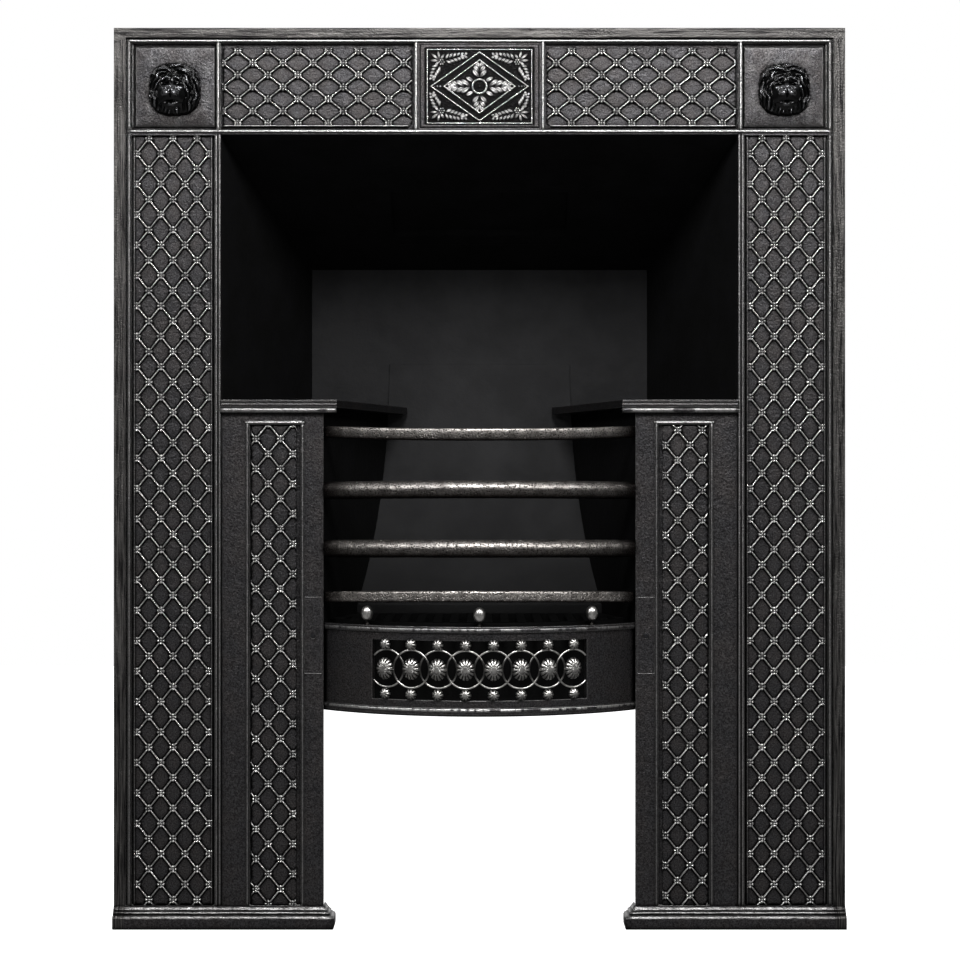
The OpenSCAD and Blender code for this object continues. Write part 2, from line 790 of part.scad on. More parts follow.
module round_bar(z) {
    color(burnished) in_frame() {
        intersection() {
            bowed(bar_sweep) translate([arc_r, z]) circle(d = round_bar_d);
            basket_space(seat_gap, z - round_bar_d, z + round_bar_d);
        }
        both_sides() tenon_at(z, tenon_d / 2, sheet_t - 1);
    }
}

// Panel, rails and beads of the fret in section
module fret_section() {
    front = arc_r + fret_t / 2;
    translate([arc_r - fret_t / 2, fret_low]) square([fret_t, fret_h]);
    translate([arc_r, fret_top - 6]) square([fret_t / 2 + 2, 6]);
    translate([front, fret_top - 3.5]) circle(r = 2.5);
    translate([arc_r, fret_low + 2]) square([fret_t / 2 + 1.5, 5]);
    translate([front, fret_low + 6.5]) circle(r = 2.2);
}

module fret_panel() {
    color(iron) in_frame() {
        difference() {
            intersection() {
                bowed(bar_sweep) fret_section();
                basket_space(seat_gap, fret_low - cut, fret_top + cut);
            }
            bowed(arc_angle(window_half_arc))
                translate([arc_r - fret_t, window_low]) square([fret_t * 2, window_high - window_low]);
            for (i = [-1, 0, 1]) finial_at(i) translate([0, 0, -6]) cylinder(r = 2 + stud_clear, h = 7);
        }
        both_sides() tenon_at(fret_top - fret_h / 2, tenon_d / 2, sheet_t - 1);
    }
}

// Stands its children on the bow at an angle, facing forward along -Y
module on_bow(angle, z) {
    translate([0, arc_depth, z]) rotate([0, 0, angle]) translate([0, -arc_r, 0]) children();
}

// Rings in two layers, so that neighbours pass in front of and behind each other;
// the outermost two stop at the ends of the fret's window
module fret_rings() {
    color(bright) in_frame() for (i = [0 : ring_count - 1])
        intersection() {
            on_bow(ring_angle(i), ring_z) one_ring(i % 2 == 0 ? layer_gap / 2 : -ring_wire - layer_gap / 2);
            bowed(arc_angle(window_half_arc - seat_gap))
                translate([arc_r / 2, fret_low]) square([arc_r, fret_h]);
        }
}

module one_ring(back) {
    difference() {
        rod_y(ring_r, back, back + ring_wire);
        rod_y(ring_r - ring_wire, back - cut, back + ring_wire + cut);
    }
}

// The cap of a ball, standing h forward of its flat back
module dome(r, h) {
    ball = (pow(r, 2) + pow(h, 2)) / (2 * h);
    intersection() {
        translate([0, ball - h, 0]) sphere(r = ball);
        block([-r - cut, -h - cut, -r - cut], [r + cut, 0, r + cut]);
    }
}

module fret_bosses_large() {
    edge = arc_angle(ring_r);
    color(bright) in_frame() for (i = [0 : ring_count - 1])
        on_bow(ring_angle(i), ring_z) {
            // seated on the neighbouring rings, which lie in the other layer
            face = i % 2 == 0 ? ring_wire + layer_gap / 2 : -layer_gap / 2;
            seat = (arc_r + face) / cos(edge) - arc_r + seat_gap;
            translate([0, -seat, 0]) scale([1, 1, boss_h / boss_w]) dome(boss_w / 2, boss_rise);
        }
}

module fret_bosses_small() {
    low_gap = ring_z - ring_r - window_low;
    high_gap = window_high - ring_z - ring_r;
    color(bright) in_frame() for (i = [0 : ring_count - 1])
        for (z = [window_low + low_gap / 2, window_high - high_gap / 2])
            on_bow(ring_angle(i), z) translate([0, -fret_t / 2 - seat_gap, 0])
                dome(small_boss_d / 2, small_boss_d * 0.4);
}

module finial_at(i) {
    on_bow(asin(i * finial_pitch / arc_r), fret_top) children();
}

module fret_finials() {
    stem = 4.2;
    color(bright) in_frame() for (i = [-1, 0, 1]) finial_at(i) {
        translate([0, 0, -5]) cylinder(r = 2, h = 5 + stem + 1);
        cylinder(r1 = 3.2, r2 = 2, h = 2.2);
        translate([0, 0, stem + finial_h / 2]) scale([1, 1, finial_h / finial_w]) sphere(d = finial_w);
    }
}

module fire_grate() {
    pitch = grate_slot_w + grate_bar_w;
    rim = 12;
    slots = floor((basket_half - rim) / pitch);
    inside_r = arc_r - round_bar_d / 2 - grate_gap;
    color(soot) in_frame() translate([0, 0, grate_top - grate_t]) linear_extrude(grate_t)
        difference() {
            grate_outline(0, inside_r);
            intersection() {
                grate_outline(rim, inside_r);
                for (i = [-slots : slots])
                    translate([i * pitch - grate_slot_w / 2, -bow * 2])
                        square([grate_slot_w, bow * 2 + back_foot_depth]);
            }
        }
}

// Plan of the bottom grate, drawn in all round by rim
module grate_outline(rim, r) {
    slope = basket_splay / (rear_depth - plate_t);
    back = back_foot_depth - grate_gap - rim;
    wide = basket_half - grate_gap - rim;
    intersection() {
        translate([0, arc_depth]) circle(r = r - rim, $fn = 180);
        polygon([[-wide, -bow * 2], [wide, -bow * 2], [wide, plate_t],
            [wide - slope * (back - plate_t), back], [-wide + slope * (back - plate_t), back],
            [-wide, plate_t]]);
    }
}

// ---- nuts, all on the backs of the castings ----

module nuts(points, depth) {
    color(worn_iron) in_frame() both_sides() at_each(points) translate([0, depth, 0]) square_nut();
}

module hob_plate_nuts() {
    color(worn_iron) in_frame() both_sides()
        translate([hob_plate_stud_x, hob_plate_stud_d, hob_h - hob_plate_t - flange_t])
            rotate([-90, 0, 0]) square_nut();
}

header();
on_side(-1) jamb();  // jamb_left
on_side(1) jamb();  // jamb_right
centre_tablet();
on_side(-1) lion_mask();  // lion_mask_left
on_side(1) lion_mask();  // lion_mask_right
on_side(-1) plinth();  // plinth_left
on_side(1) plinth();  // plinth_right
on_side(-1) hob_front();  // hob_front_left
on_side(1) hob_front();  // hob_front_right
on_side(-1) hob_patch();  // hob_patch_left
on_side(1) hob_patch();  // hob_patch_right
patch_rivets();
on_side(-1) hob_plate();  // hob_plate_left
on_side(1) hob_plate();  // hob_plate_right
on_side(-1) hob_back();  // hob_back_left
on_side(1) hob_back();  // hob_back_right
on_side(-1) basket_cheek();  // basket_cheek_left
on_side(1) basket_cheek();  // basket_cheek_right
on_side(-1) cheek_upper();  // cheek_upper_left
on_side(1) cheek_upper();  // cheek_upper_right
fireback_lower();
fireback_upper();
register_plate();
register_flap();
flap_pin();
flat_bar(hob_h - top_bar_drop, top_bar_h);  // top_bar
round_bar(hob_h - upper_round_drop);  // upper_round_bar
round_bar(hob_h - lower_round_drop);  // lower_round_bar
flat_bar(hob_h - low_bar_drop, low_bar_h);  // low_bar
fret_panel();
fret_rings();
fret_bosses_large();
fret_bosses_small();
fret_finials();
fire_grate();
nuts(header_studs, plate_t + flange_t);  // header_nuts
nuts([tablet_stud], plate_t);  // tablet_nuts
nuts([mask_stud], plate_t);  // mask_nuts
nuts(cheek_studs, plate_t + flange_t);  // cheek_nuts
nuts(concat(hob_studs, lap_studs), plate_t + flange_t);  // hob_front_nuts
hob_plate_nuts();
nuts(back_studs, firebox_depth - flange_t - nut_t);  // fireback_nuts
nuts([roof_stud], plate_t + flange_t);  // roof_nuts
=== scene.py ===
# %% [markdown]
# # A cast iron hob grate
# This lesson dresses a fireplace that a CAD model has already built: two jambs and a header
# covered in lattice, two hobs, a bowed basket of bars and a pierced ash fret. The CAD solids
# stay where they are. Plain castings get a finish. Ornament that CAD only blocks out, such as
# the lattice, the tablet and the lion masks, is worked out here as numpy surfaces.

# %% Load the frame
import json
import math

import bpy
import numpy as np
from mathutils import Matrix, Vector

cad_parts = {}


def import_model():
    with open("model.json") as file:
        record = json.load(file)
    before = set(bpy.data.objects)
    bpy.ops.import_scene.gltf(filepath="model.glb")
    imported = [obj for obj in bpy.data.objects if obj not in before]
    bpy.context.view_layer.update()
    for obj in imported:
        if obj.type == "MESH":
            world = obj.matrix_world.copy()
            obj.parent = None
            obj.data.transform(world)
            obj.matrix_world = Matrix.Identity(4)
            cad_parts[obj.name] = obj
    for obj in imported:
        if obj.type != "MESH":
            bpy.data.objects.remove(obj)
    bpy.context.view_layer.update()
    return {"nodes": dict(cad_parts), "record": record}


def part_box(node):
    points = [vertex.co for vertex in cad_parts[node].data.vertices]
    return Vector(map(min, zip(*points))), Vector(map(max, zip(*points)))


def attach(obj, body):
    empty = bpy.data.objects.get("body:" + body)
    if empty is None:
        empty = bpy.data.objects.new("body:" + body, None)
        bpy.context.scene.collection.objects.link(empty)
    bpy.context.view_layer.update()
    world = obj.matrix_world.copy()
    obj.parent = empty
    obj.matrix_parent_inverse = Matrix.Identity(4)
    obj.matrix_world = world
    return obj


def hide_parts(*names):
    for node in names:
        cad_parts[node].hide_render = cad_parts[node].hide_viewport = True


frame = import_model()
nodes = frame["nodes"]

# %% [markdown]
# ## Units
# An iron founder works in millimetres and measures depth back from the front face of the
# frame. Blender works in metres from the middle of the model. One function turns the
# founder's numbers into Blender's, so every size below reads as it would on a drawing.
# The beads on the CAD jambs stand 1.5 mm in front of the frame, which tells where its face is.
# The sunk fields that hold the ornament lie 4 mm behind it.

# %% Units
MM = 0.001
CAD_BEAD_PROUD = 1.5
FRONT_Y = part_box("jamb_left")[0].y + CAD_BEAD_PROUD * MM
FIELD_FLOOR = 4
SIDES = {"left": -1, "right": 1}


def place(across, depth, height):
    """Points in metres from millimetres across, back from the front face, and up from the floor."""
    across, depth, height = np.broadcast_arrays(across, depth, height)
    return np.stack([across.ravel() * MM, FRONT_Y + depth.ravel() * MM, height.ravel() * MM], axis=1)


print("front face of the frame at y =", round(FRONT_Y, 4), "m")

# %% [markdown]
# ## Meshes from arrays
# Ornament is cast, so it is one skin that rises from a flat ground. A grid of points, moved by
# a formula, makes such a skin. The helpers here number the faces of a grid, close the back of
# a skin so that it is a solid like the real casting, and put the arrays into a Blender mesh.

# %% Mesh helpers
def grid_faces(rows, columns, closed=False):
    """Quads between neighbours of a grid stored row by row; closed joins the last column to the first."""
    row = np.arange(rows - 1)[:, None]
    column = np.arange(columns if closed else columns - 1)[None, :]
    beside = (column + 1) % columns
    corners = [row * columns + column, row * columns + beside,
               (row + 1) * columns + beside, (row + 1) * columns + column]
    return np.stack(corners, axis=-1).reshape(-1, 4)


def outward(points, groups, tone):
    """A shell: points, groups of (faces, smooth) and tone. Its faces turn over if its volume is negative."""
    volume = 0.0
    for faces, _ in groups:
        for second in range(1, faces.shape[1] - 1):
            a, b, c = (points[faces[:, k]] for k in (0, second, second + 1))
            volume += float((a * np.cross(b, c)).sum())
    if volume < 0:
        groups = [(faces[:, ::-1], smooth) for faces, smooth in groups]
    toned = np.zeros(len(points), np.float32)
    toned[:len(tone)] = tone
    return points, groups, toned


def close_back(points, quads, tone):
    """A shell from an open skin: walls run from its edges back to the fields' floor, and a fan shuts it."""
    starts = quads.ravel()
    ends = np.roll(quads, -1, axis=1).ravel()
    step = len(points)
    shared = np.isin(starts * step + ends, ends * step + starts)
    starts, ends = starts[~shared], ends[~shared]
    edge = np.unique(starts)
    renumber = np.zeros(step, int)
    renumber[edge] = np.arange(len(edge)) + step
    rear = points[edge].copy()
    rear[:, 1] = FRONT_Y + FIELD_FLOOR * MM
    middle = rear.mean(axis=0, keepdims=True)
    walls = np.stack([ends, starts, renumber[starts], renumber[ends]], axis=1)
    fan = np.stack([renumber[ends], renumber[starts], np.full(len(starts), step + len(edge))], axis=1)
    points = np.concatenate([points, rear, middle])
    return outward(points, [(quads, True), (walls, False), (fan, False)], tone.ravel())


def close_ends(points, tone, smooth_ends=False):
    """A shell from rows of closed rings, one tone for each point: a fan shuts the first ring and the last."""
    rows, columns = tone.shape
    first = np.arange(columns)
    beside = np.roll(first, -1)
    last = (rows - 1) * columns
    hubs = np.stack([points[:columns].mean(axis=0), points[last:].mean(axis=0)])
    front = np.stack([beside, first, np.full(columns, len(points))], axis=1)
    back = np.stack([last + first, last + beside, np.full(columns, len(points) + 1)], axis=1)
    groups = [(grid_faces(rows, columns, closed=True), True), (np.concatenate([front, back]), smooth_ends)]
    return outward(np.concatenate([points, hubs]), groups, np.append(tone, [tone[0].mean(), tone[-1].mean()]))


def full_turn(steps):
    """Angles once round a ring, as one row."""
    return np.linspace(0, 2 * math.pi, steps, endpoint=False)[None, :]


def make_piece(name, *shells):
    """A mesh object made of closed shells, each with its points in metres, its faces and its tone."""
    points = np.concatenate([shell[0] for shell in shells])
    starts = np.cumsum([0] + [len(shell[0]) for shell in shells])
    groups = [(faces + start, smooth) for start, shell in zip(starts, shells) for faces, smooth in shell[1]]
    sizes = np.concatenate([np.full(len(faces), faces.shape[1]) for faces, _ in groups])
    smooths = np.concatenate([np.full(len(faces), smooth) for faces, smooth in groups])
    mesh = bpy.data.meshes.new(name)
    mesh.vertices.add(len(points))
    mesh.vertices.foreach_set("co", points.astype(np.float32).ravel())
    mesh.loops.add(int(sizes.sum()))
    corners = np.concatenate([faces.ravel() for faces, _ in groups])
    mesh.loops.foreach_set("vertex_index", corners.astype(np.int32))
    mesh.polygons.add(len(sizes))
    mesh.polygons.foreach_set("loop_start", np.concatenate([[0], np.cumsum(sizes)[:-1]]).astype(np.int32))
    mesh.polygons.foreach_set("use_smooth", smooths)
    tone = np.concatenate([shell[2] for shell in shells]).astype(np.float32)
    mesh.attributes.new("tone", "FLOAT", "POINT").data.foreach_set("value", tone)
    mesh.update(calc_edges=True)
    mesh.validate()
    piece = bpy.data.objects.new(name, mesh)
    bpy.context.scene.collection.objects.link(piece)
    print(name, "points", len(points), "triangles", int((sizes - 2).sum()))
    return piece


# %% [markdown]
# ## The unevenness of sand casting
# Iron poured in sand is never quite true: a rib is a little fatter here and lower there. A few
# crossed sine waves give that drift the same way on every run, with nothing random in it.

# %% Unevenness
def ripple(across, up, size, phase=0.0):
    """Smooth drift between -1 and 1: the mean of five sine waves about size long that cross at odd angles."""
    total = 0.0
    for k in range(5):
        angle = 2.4 * k + phase
        along = across * math.cos(angle) + up * math.sin(angle)
        total = total + np.sin(2 * math.pi * along / (size * (0.8 + 0.17 * k)) + 1.7 * k + phase)
    return total / 5


def smooth_step(value, low, high):
    """0 below low, 1 above high, and a soft S between them."""
    t = np.clip((value - low) / (high - low), 0, 1)
    return t * t * (3 - 2 * t)


sample = ripple(*np.meshgrid(np.linspace(0, 90, 50), np.linspace(0, 90, 50)), 12)
print("ripple runs from", round(float(sample.min()), 2), "to", round(float(sample.max()), 2))

# %% [markdown]
# ## Colours and shader nodes
# A colour is written as the hex number a painter's chart would give. Blender's shaders add
# light up in linear values, so one function converts. All the finishes here are iron under
# different handling, so all are dark, near neutral greys. Each small function below adds one
# node to a material's tree and returns the socket that carries its result.

# %% Colours and shader nodes
def linear(hex_colour):
    """The linear RGBA of an sRGB hex colour: the sRGB curve taken off each channel."""
    channels = [int(hex_colour[i:i + 2], 16) / 255 for i in (1, 3, 5)]
    return tuple(c / 12.92 if c <= 0.04045 else ((c + 0.055) / 1.055) ** 2.4 for c in channels) + (1.0,)


def add(tree, kind, inputs=None, **settings):
    """Adds one node: settings are its properties, and inputs gives a socket a value or a link."""
    node = tree.nodes.new(kind)
    for key, value in settings.items():
        setattr(node, key, value)
    for key, value in (inputs or {}).items():
        if isinstance(value, bpy.types.NodeSocket):
            tree.links.new(value, node.inputs[key])
        else:
            node.inputs[key].default_value = value
    return node


def where_on(tree):
    """The place on the object that is being shaded."""
    return add(tree, "ShaderNodeTexCoord").outputs["Object"]


def own_tone(tree):
    """The tone that modelled ornament carries from point to point."""
    return add(tree, "ShaderNodeAttribute", attribute_name="tone").outputs["Fac"]


def noise(tree, size_mm, detail, roughness=0.5):
    """Lumps between 0 and 1, about size_mm across, fixed to the object."""
    return add(tree, "ShaderNodeTexNoise", {"Vector": where_on(tree), "Scale": 1000 / size_mm,
                                            "Detail": detail, "Roughness": roughness}).outputs["Fac"]


def rescale(tree, value, low, high, to_low=0.0, to_high=1.0):
    """The range from low to high stretched to a new one and cut off at its ends."""
    return add(tree, "ShaderNodeMapRange", {"Value": value, "From Min": low, "From Max": high,
                                            "To Min": to_low, "To Max": to_high}).outputs["Result"]


def reckon(tree, operation, *values):
    """One step of arithmetic on sockets or numbers."""
    return add(tree, "ShaderNodeMath", dict(enumerate(values)), operation=operation).outputs["Value"]


def mix(tree, share, first, second):
    """A colour that turns from the first to the second with share; each is a socket or a hex colour."""
    first, second = (linear(c) if isinstance(c, str) else c for c in (first, second))
    return add(tree, "ShaderNodeMix", {0: share, 6: first, 7: second}, data_type="RGBA").outputs[2]


def mix_numbers(tree, share, first, second):
    """A number that turns from the first to the second with share."""
    return add(tree, "ShaderNodeMix", {0: share, 2: first, 3: second}).outputs[0]


def bump(tree, height, depth_mm, normal=None):
    """The normal as a height between 0 and 1 that is worth depth_mm would lean it."""
    inputs = {"Height": height, "Distance": depth_mm * MM, "Strength": 1.0}
    if normal is not None:
        inputs["Normal"] = normal
    return add(tree, "ShaderNodeBump", inputs).outputs["Normal"]


def new_material(name):
    """An empty material and its node tree."""
    material = bpy.data.materials.new(name)
    material.use_nodes = True
    material.node_tree.nodes.clear()
    return material, material.node_tree


def show(material, shader):
    """Wires a shader's socket to the material's output."""
    add(material.node_tree, "ShaderNodeOutputMaterial", {"Surface": shader})
    return material


def metal(material, colour, roughness, normal, others=None):
    """Makes the material bare metal; others sets more of the shader's sockets, or changes these."""
    inputs = {"Base Color": colour, "Metallic": 1.0, "Roughness": roughness, "Normal": normal}
    shader = add(material.node_tree, "ShaderNodeBsdfPrincipled", {**inputs, **(others or {})})
    return show(material, shader.outputs["BSDF"])


print("blackleaded iron is", [round(c, 3) for c in linear("#3b3b3d")])

# %% [markdown]
# ## What every casting here shares
# Sand leaves a grain of about 2 mm and slow swells of 9 mm. Edges are never sharp: the mould rounds them by
# under a millimetre, and polishing rubs them brighter. The Bevel node rounds the light on an edge without
# touching the mesh. Corners get painted shade, near black, and the Ambient Occlusion node finds them.
# Ornament made below also carries its own tone: 1 on tops that are rubbed bright, which is wear with a
# painted highlight, 0 on plain ground, and down to -1 for painted shade in its hollows.

# %% Shared casting nodes
SWELL_MM = 9
PATCH_MM = 45
CORNER_MM = 6


def casting_nodes(tree, grain_mm, grain_depth, swell_depth, edge_mm=0.9):
    """Returns (bumped normal, wear and painted highlight 0 to 1, painted shade 0 to 1, patches 0 to 1)
    sockets for an iron casting.
    Ornament with an edge_mm of 0 keeps its own finely curved normals."""
    flat = add(tree, "ShaderNodeNewGeometry").outputs["Normal"]
    start = flat
    if edge_mm:
        start = add(tree, "ShaderNodeBevel", {"Radius": edge_mm * MM}, samples=6).outputs["Normal"]
    grain = noise(tree, grain_mm, 3.0, 0.62)
    swollen = bump(tree, noise(tree, SWELL_MM, 2.0), swell_depth, start)
    same = add(tree, "ShaderNodeVectorMath", {0: start, 1: flat}, operation="DOT_PRODUCT")
    edge = rescale(tree, same.outputs["Value"], 0.995, 0.9, 0.0, 0.3)
    tone = own_tone(tree)
    uneven = rescale(tree, grain, 0.35, 0.55, 0.4, 1.0)
    # Lighter where edges wear, and where the ornament's tone paints a highlight.
    wear_and_painted_light = reckon(tree, "MULTIPLY", reckon(tree, "MAXIMUM", edge, tone), uneven)
    # Painted shade: the Ambient Occlusion node darkens corners, and a negative tone darkens ornament hollows.
    open_air = add(tree, "ShaderNodeAmbientOcclusion", {"Distance": CORNER_MM * MM}, samples=4)
    corner = rescale(tree, open_air.outputs["AO"], 0.9, 0.45)
    painted_shade = reckon(tree, "MAXIMUM", corner, reckon(tree, "MULTIPLY", tone, -1.0))
    return bump(tree, grain, grain_depth, swollen), wear_and_painted_light, painted_shade, noise(tree, PATCH_MM, 5.0, 0.65)


print("casting nodes ready")

# %% [markdown]
# ## Blackleaded iron
# The frame, hobs and fret are cast iron rubbed with graphite paste and brushed. Graphite on iron is a dark
# semi-metal with a satin gloss, brighter where the brush bears on an edge. Its colour also carries painted
# shade, near black, in the corners, and a painted highlight on the crests of ornament. A faint brown shows in
# patches, where rust was rubbed back. The plain border round the outside was rubbed along its length, so it
# has long fine streaks.

# %% Blackleaded iron
BORDER_FROM_X = 379.5
BORDER_FROM_Z = 952.5
UPRIGHT_STREAKS, LEVEL_STREAKS = (700, 30, 22), (22, 30, 700)
THIN_GREY, THIN_BROWN = "#5a595b", "#595656"
THICK_GREY, THICK_BROWN = "#2d2c2d", "#2e2c2c"
DARK_STREAK, PALE_STREAK = "#1f1e1f", "#6b6967"
PAINTED_SHADE_BLACK, WEAR_AND_HIGHLIGHT_PALE = "#090909", "#efeeec"
RUBBED_ROUGHNESS = 0.25


def border_streaks(tree):
    """Returns (1 on the frame's outer border, streaks 0 to 1 that run along it)."""
    where = where_on(tree)
    parts = add(tree, "ShaderNodeSeparateXYZ", {0: where}).outputs
    side = reckon(tree, "GREATER_THAN", reckon(tree, "ABSOLUTE", parts["X"]), BORDER_FROM_X * MM)
    top = reckon(tree, "GREATER_THAN", parts["Z"], BORDER_FROM_Z * MM)
    scales = {0: top, 4: UPRIGHT_STREAKS, 5: LEVEL_STREAKS}
    lengthwise = add(tree, "ShaderNodeMix", scales, data_type="VECTOR").outputs[1]
    stretched = add(tree, "ShaderNodeVectorMath", {0: where, 1: lengthwise}, operation="MULTIPLY")
    streaks = add(tree, "ShaderNodeTexNoise", {"Vector": stretched.outputs["Vector"], "Scale": 1.0,
                                               "Detail": 4.0, "Roughness": 0.7})
    return reckon(tree, "MAXIMUM", side, top), streaks.outputs["Fac"]


def blackleaded_iron(name, edge_mm):
    """Dark satin metal: painted shade, near black, in corners; mottled on plain ground; pale where worn and
    under painted highlight; browner in patches.
    """
    material, tree = new_material(name)
    normal, wear_and_painted_light, painted_shade, patches = casting_nodes(tree, 2.0, 0.6, 0.5, edge_mm)
    brown = rescale(tree, patches, 0.42, 0.6)
    thin = mix(tree, brown, THIN_GREY, THIN_BROWN)
    thick = mix(tree, brown, THICK_GREY, THICK_BROWN)
    ground = mix(tree, rescale(tree, noise(tree, 1.5, 3.0, 0.7), 0.36, 0.64), thick, thin)
    border, streaks = border_streaks(tree)
    streaked = mix(tree, rescale(tree, streaks, 0.38, 0.64), DARK_STREAK, PALE_STREAK)
    # Painted shade takes the colour to near black; wear and painted highlight take it pale.
    dark = mix(tree, painted_shade, mix(tree, border, ground, streaked), PAINTED_SHADE_BLACK)
    shine = reckon(tree, "MULTIPLY", wear_and_painted_light, reckon(tree, "MULTIPLY_ADD", border, -0.85, 1.0))
    satin = rescale(tree, patches, 0.35, 0.65, 0.36, 0.46)
    return metal(material, mix(tree, shine, dark, WEAR_AND_HIGHLIGHT_PALE),
                 mix_numbers(tree, shine, satin, RUBBED_ROUGHNESS), normal)


BLACKLEADED = blackleaded_iron("blackleaded_cast_iron", edge_mm=0.9)
ORNAMENT = blackleaded_iron("blackleaded_cast_ornament", edge_mm=0)
print(BLACKLEADED.name, "has", len(BLACKLEADED.node_tree.nodes), "nodes")

# %% [markdown]
# ## Sooted iron
# Inside the firebox nobody polishes. Soot is carbon dust: it is matt, has no metal sheen and swallows light.
# The cheeks and the roof take a darker copy of the fireback's soot, as painted shade for parts that face away
# from the lamps, so there are two soots from one recipe. Below the fire line, behind the fret, the soot is
# near black, and above that line painted shade darkens it towards the bottom, fading out by 500 mm. The backs
# of these castings face the brickwork and are grey with its dust.

# %% Sooted iron
FIRE_FROM_Z = 336
PAINTED_SHADE_TOP_Z = 500
DEEP_SOOT, BRICK_DUST = "#040404", "#4b4846"


def sooted_iron(name, thin, thick, gloss):
    """Matt soot between a thin and a thick layer, near black below the fire line, with painted shade darker
    towards the bottom above it, and dusty where it faces the rear.
    """
    material, tree = new_material(name)
    normal, _, _, patches = casting_nodes(tree, grain_mm=2.6, grain_depth=0.3, swell_depth=0.5)
    at = add(tree, "ShaderNodeTexCoord").outputs
    height = add(tree, "ShaderNodeSeparateXYZ", {0: at["Object"]}).outputs["Z"]
    rearward = add(tree, "ShaderNodeSeparateXYZ", {0: at["Normal"]}).outputs["Y"]
    # Below the fire line the soot is near black; above it, painted shade darkens it towards the bottom and
    # fades out by 500 mm.
    above = rescale(tree, height, (FIRE_FROM_Z - 12) * MM, (FIRE_FROM_Z + 8) * MM)
    painted_shade_fade = rescale(tree, height, FIRE_FROM_Z * MM, PAINTED_SHADE_TOP_Z * MM, 0.45)
    layer = mix(tree, rescale(tree, patches, 0.38, 0.62), thin, thick)
    soot_and_painted_shade = mix(tree, reckon(tree, "MULTIPLY", above, painted_shade_fade), DEEP_SOOT, layer)
    dusted = mix(tree, rescale(tree, rearward, 0.2, 0.45), soot_and_painted_shade, BRICK_DUST)
    return metal(material, dusted, 0.85, normal, {"Metallic": 0.0, "IOR": 1.5, "Specular IOR Level": gloss})


# The second copy is darker: painted shade for the cheeks, the roof and the other sooted parts that face away
# from the lamps.
FIREBACK_SOOT = sooted_iron("grey_fireback_soot_iron", "#1e1e1f", "#171718", 0.25)
SOOT_WITH_PAINTED_SHADE = sooted_iron("soot_iron_painted_shade", "#080809", "#050505", 0.08)
print(FIREBACK_SOOT.name, SOOT_WITH_PAINTED_SHADE.name)

# %% [markdown]
# ## Burnished bar iron
# The basket's bars were forged, and a hundred winters have pitted them. Their fronts are rubbed bright with
# emery, some more than others, and on top of that a painted highlight lies along their upper sides and
# painted shade on their undersides and towards their ends, where they run in behind the hob fronts. Small
# pits are drawn with a cell pattern, and the piece's own tone says where the painted highlight and painted
# shade lie.

# %% Burnished bar iron
PIT_MM = 2.2
PIT_DEPTH = 0.45


def burnished_iron():
    """Bright metal where the tone gives a painted highlight and nearly black where it gives painted shade,
    with a dark pit in each cell.
    """
    material, tree = new_material("burnished_forged_bar_iron")
    normal, wear_and_painted_light, _, patches = casting_nodes(tree, 2.0, 0.3, 0.4, edge_mm=0)
    cells = add(tree, "ShaderNodeTexVoronoi", {"Vector": where_on(tree), "Scale": 1000 / PIT_MM})
    off_pit = rescale(tree, cells.outputs["Distance"], 0.15, 0.42)
    bright = mix(tree, patches, "#dedad6", "#a39b94")
    # 1d1918 serves as painted shade and as the colour of the pits; a high tone gives the pale burnished
    # colour with painted highlight.
    colour = mix(tree, reckon(tree, "MULTIPLY", wear_and_painted_light, off_pit), "#1d1918", bright)
    return metal(material, colour, 0.36, bump(tree, off_pit, PIT_DEPTH, normal))


BURNISHED = burnished_iron()
print(BURNISHED.name)

# %% [markdown]
# ## Polished steel
# The bosses, rings and finials were filed and polished bright, then dulled a little by age.
# Steel is nearly colourless, reflects over half the light and shows faint marks and grey tarnish spots. Its
# own tone paints shade, down to near black, in its grooves and pits and on the sides turned away from the
# lamps, and leaves its lit sides pale.

# %% Polished steel
TARNISH_MM = 4


def polished_steel():
    """Pale metal with tarnish spots, painted darker as shade where the tone is low."""
    material, tree = new_material("aged_polished_steel")
    tarnish = noise(tree, TARNISH_MM, 3.0)
    spots = rescale(tree, tarnish, 0.35, 0.6, 0.55, 1.0)
    # A low tone gives painted shade, near black; a high tone keeps the steel's own pale colour.
    colour = mix(tree, reckon(tree, "MULTIPLY", own_tone(tree), spots), "#1a1918", "#dedcd8")
    return metal(material, colour, 0.31, bump(tree, tarnish, 0.12))


POLISHED_STEEL = polished_steel()
print(POLISHED_STEEL.name)

# %% [markdown]
# ## Buffed black iron and plain iron
# The lion masks were blacked and buffed until they shone, so they take small hard lights on a nearly black
# ground; the crests of their mane and face also carry a painted highlight in a greyer colour. Nuts, rivets
# and the hinge pin are plain blackened iron, as they came.

# %% Buffed black iron and plain iron
def buffed_black_iron():
    """Near-black gloss over iron, with a painted highlight in grey on the crests: a dark base under a clear
    waxed coat.
    """
    material, tree = new_material("buffed_black_iron")
    colour = mix(tree, own_tone(tree), "#060607", "#8e8e91")
    return metal(material, colour, 0.25, bump(tree, noise(tree, 1.6, 2.0), 0.1),
                 {"Coat Weight": 0.7, "Coat Roughness": 0.09})


def plain_iron():
    """Blackened iron as it left the smith: dull metal with a coarse grain."""
    material, tree = new_material("plain_blackened_iron")
    normal, wear_and_painted_light, _, _ = casting_nodes(tree, 1.8, 0.2, 0.2, edge_mm=0.6)
    return metal(material, mix(tree, wear_and_painted_light, "#313133", "#6c6c6f"), 0.5, normal)


BUFFED_BLACK = buffed_black_iron()
PLAIN_IRON = plain_iron()
print(BUFFED_BLACK.name, PLAIN_IRON.name)

# %% [markdown]
# ## Dressing the CAD castings
# Each CAD solid already has the right shape, so it only takes a finish in its material slot.
# The finish follows where the part sits: polished outside, sooted inside, plain behind. Pieces
# modelled below use the same slots, but their blackleaded iron keeps its own curved normals.

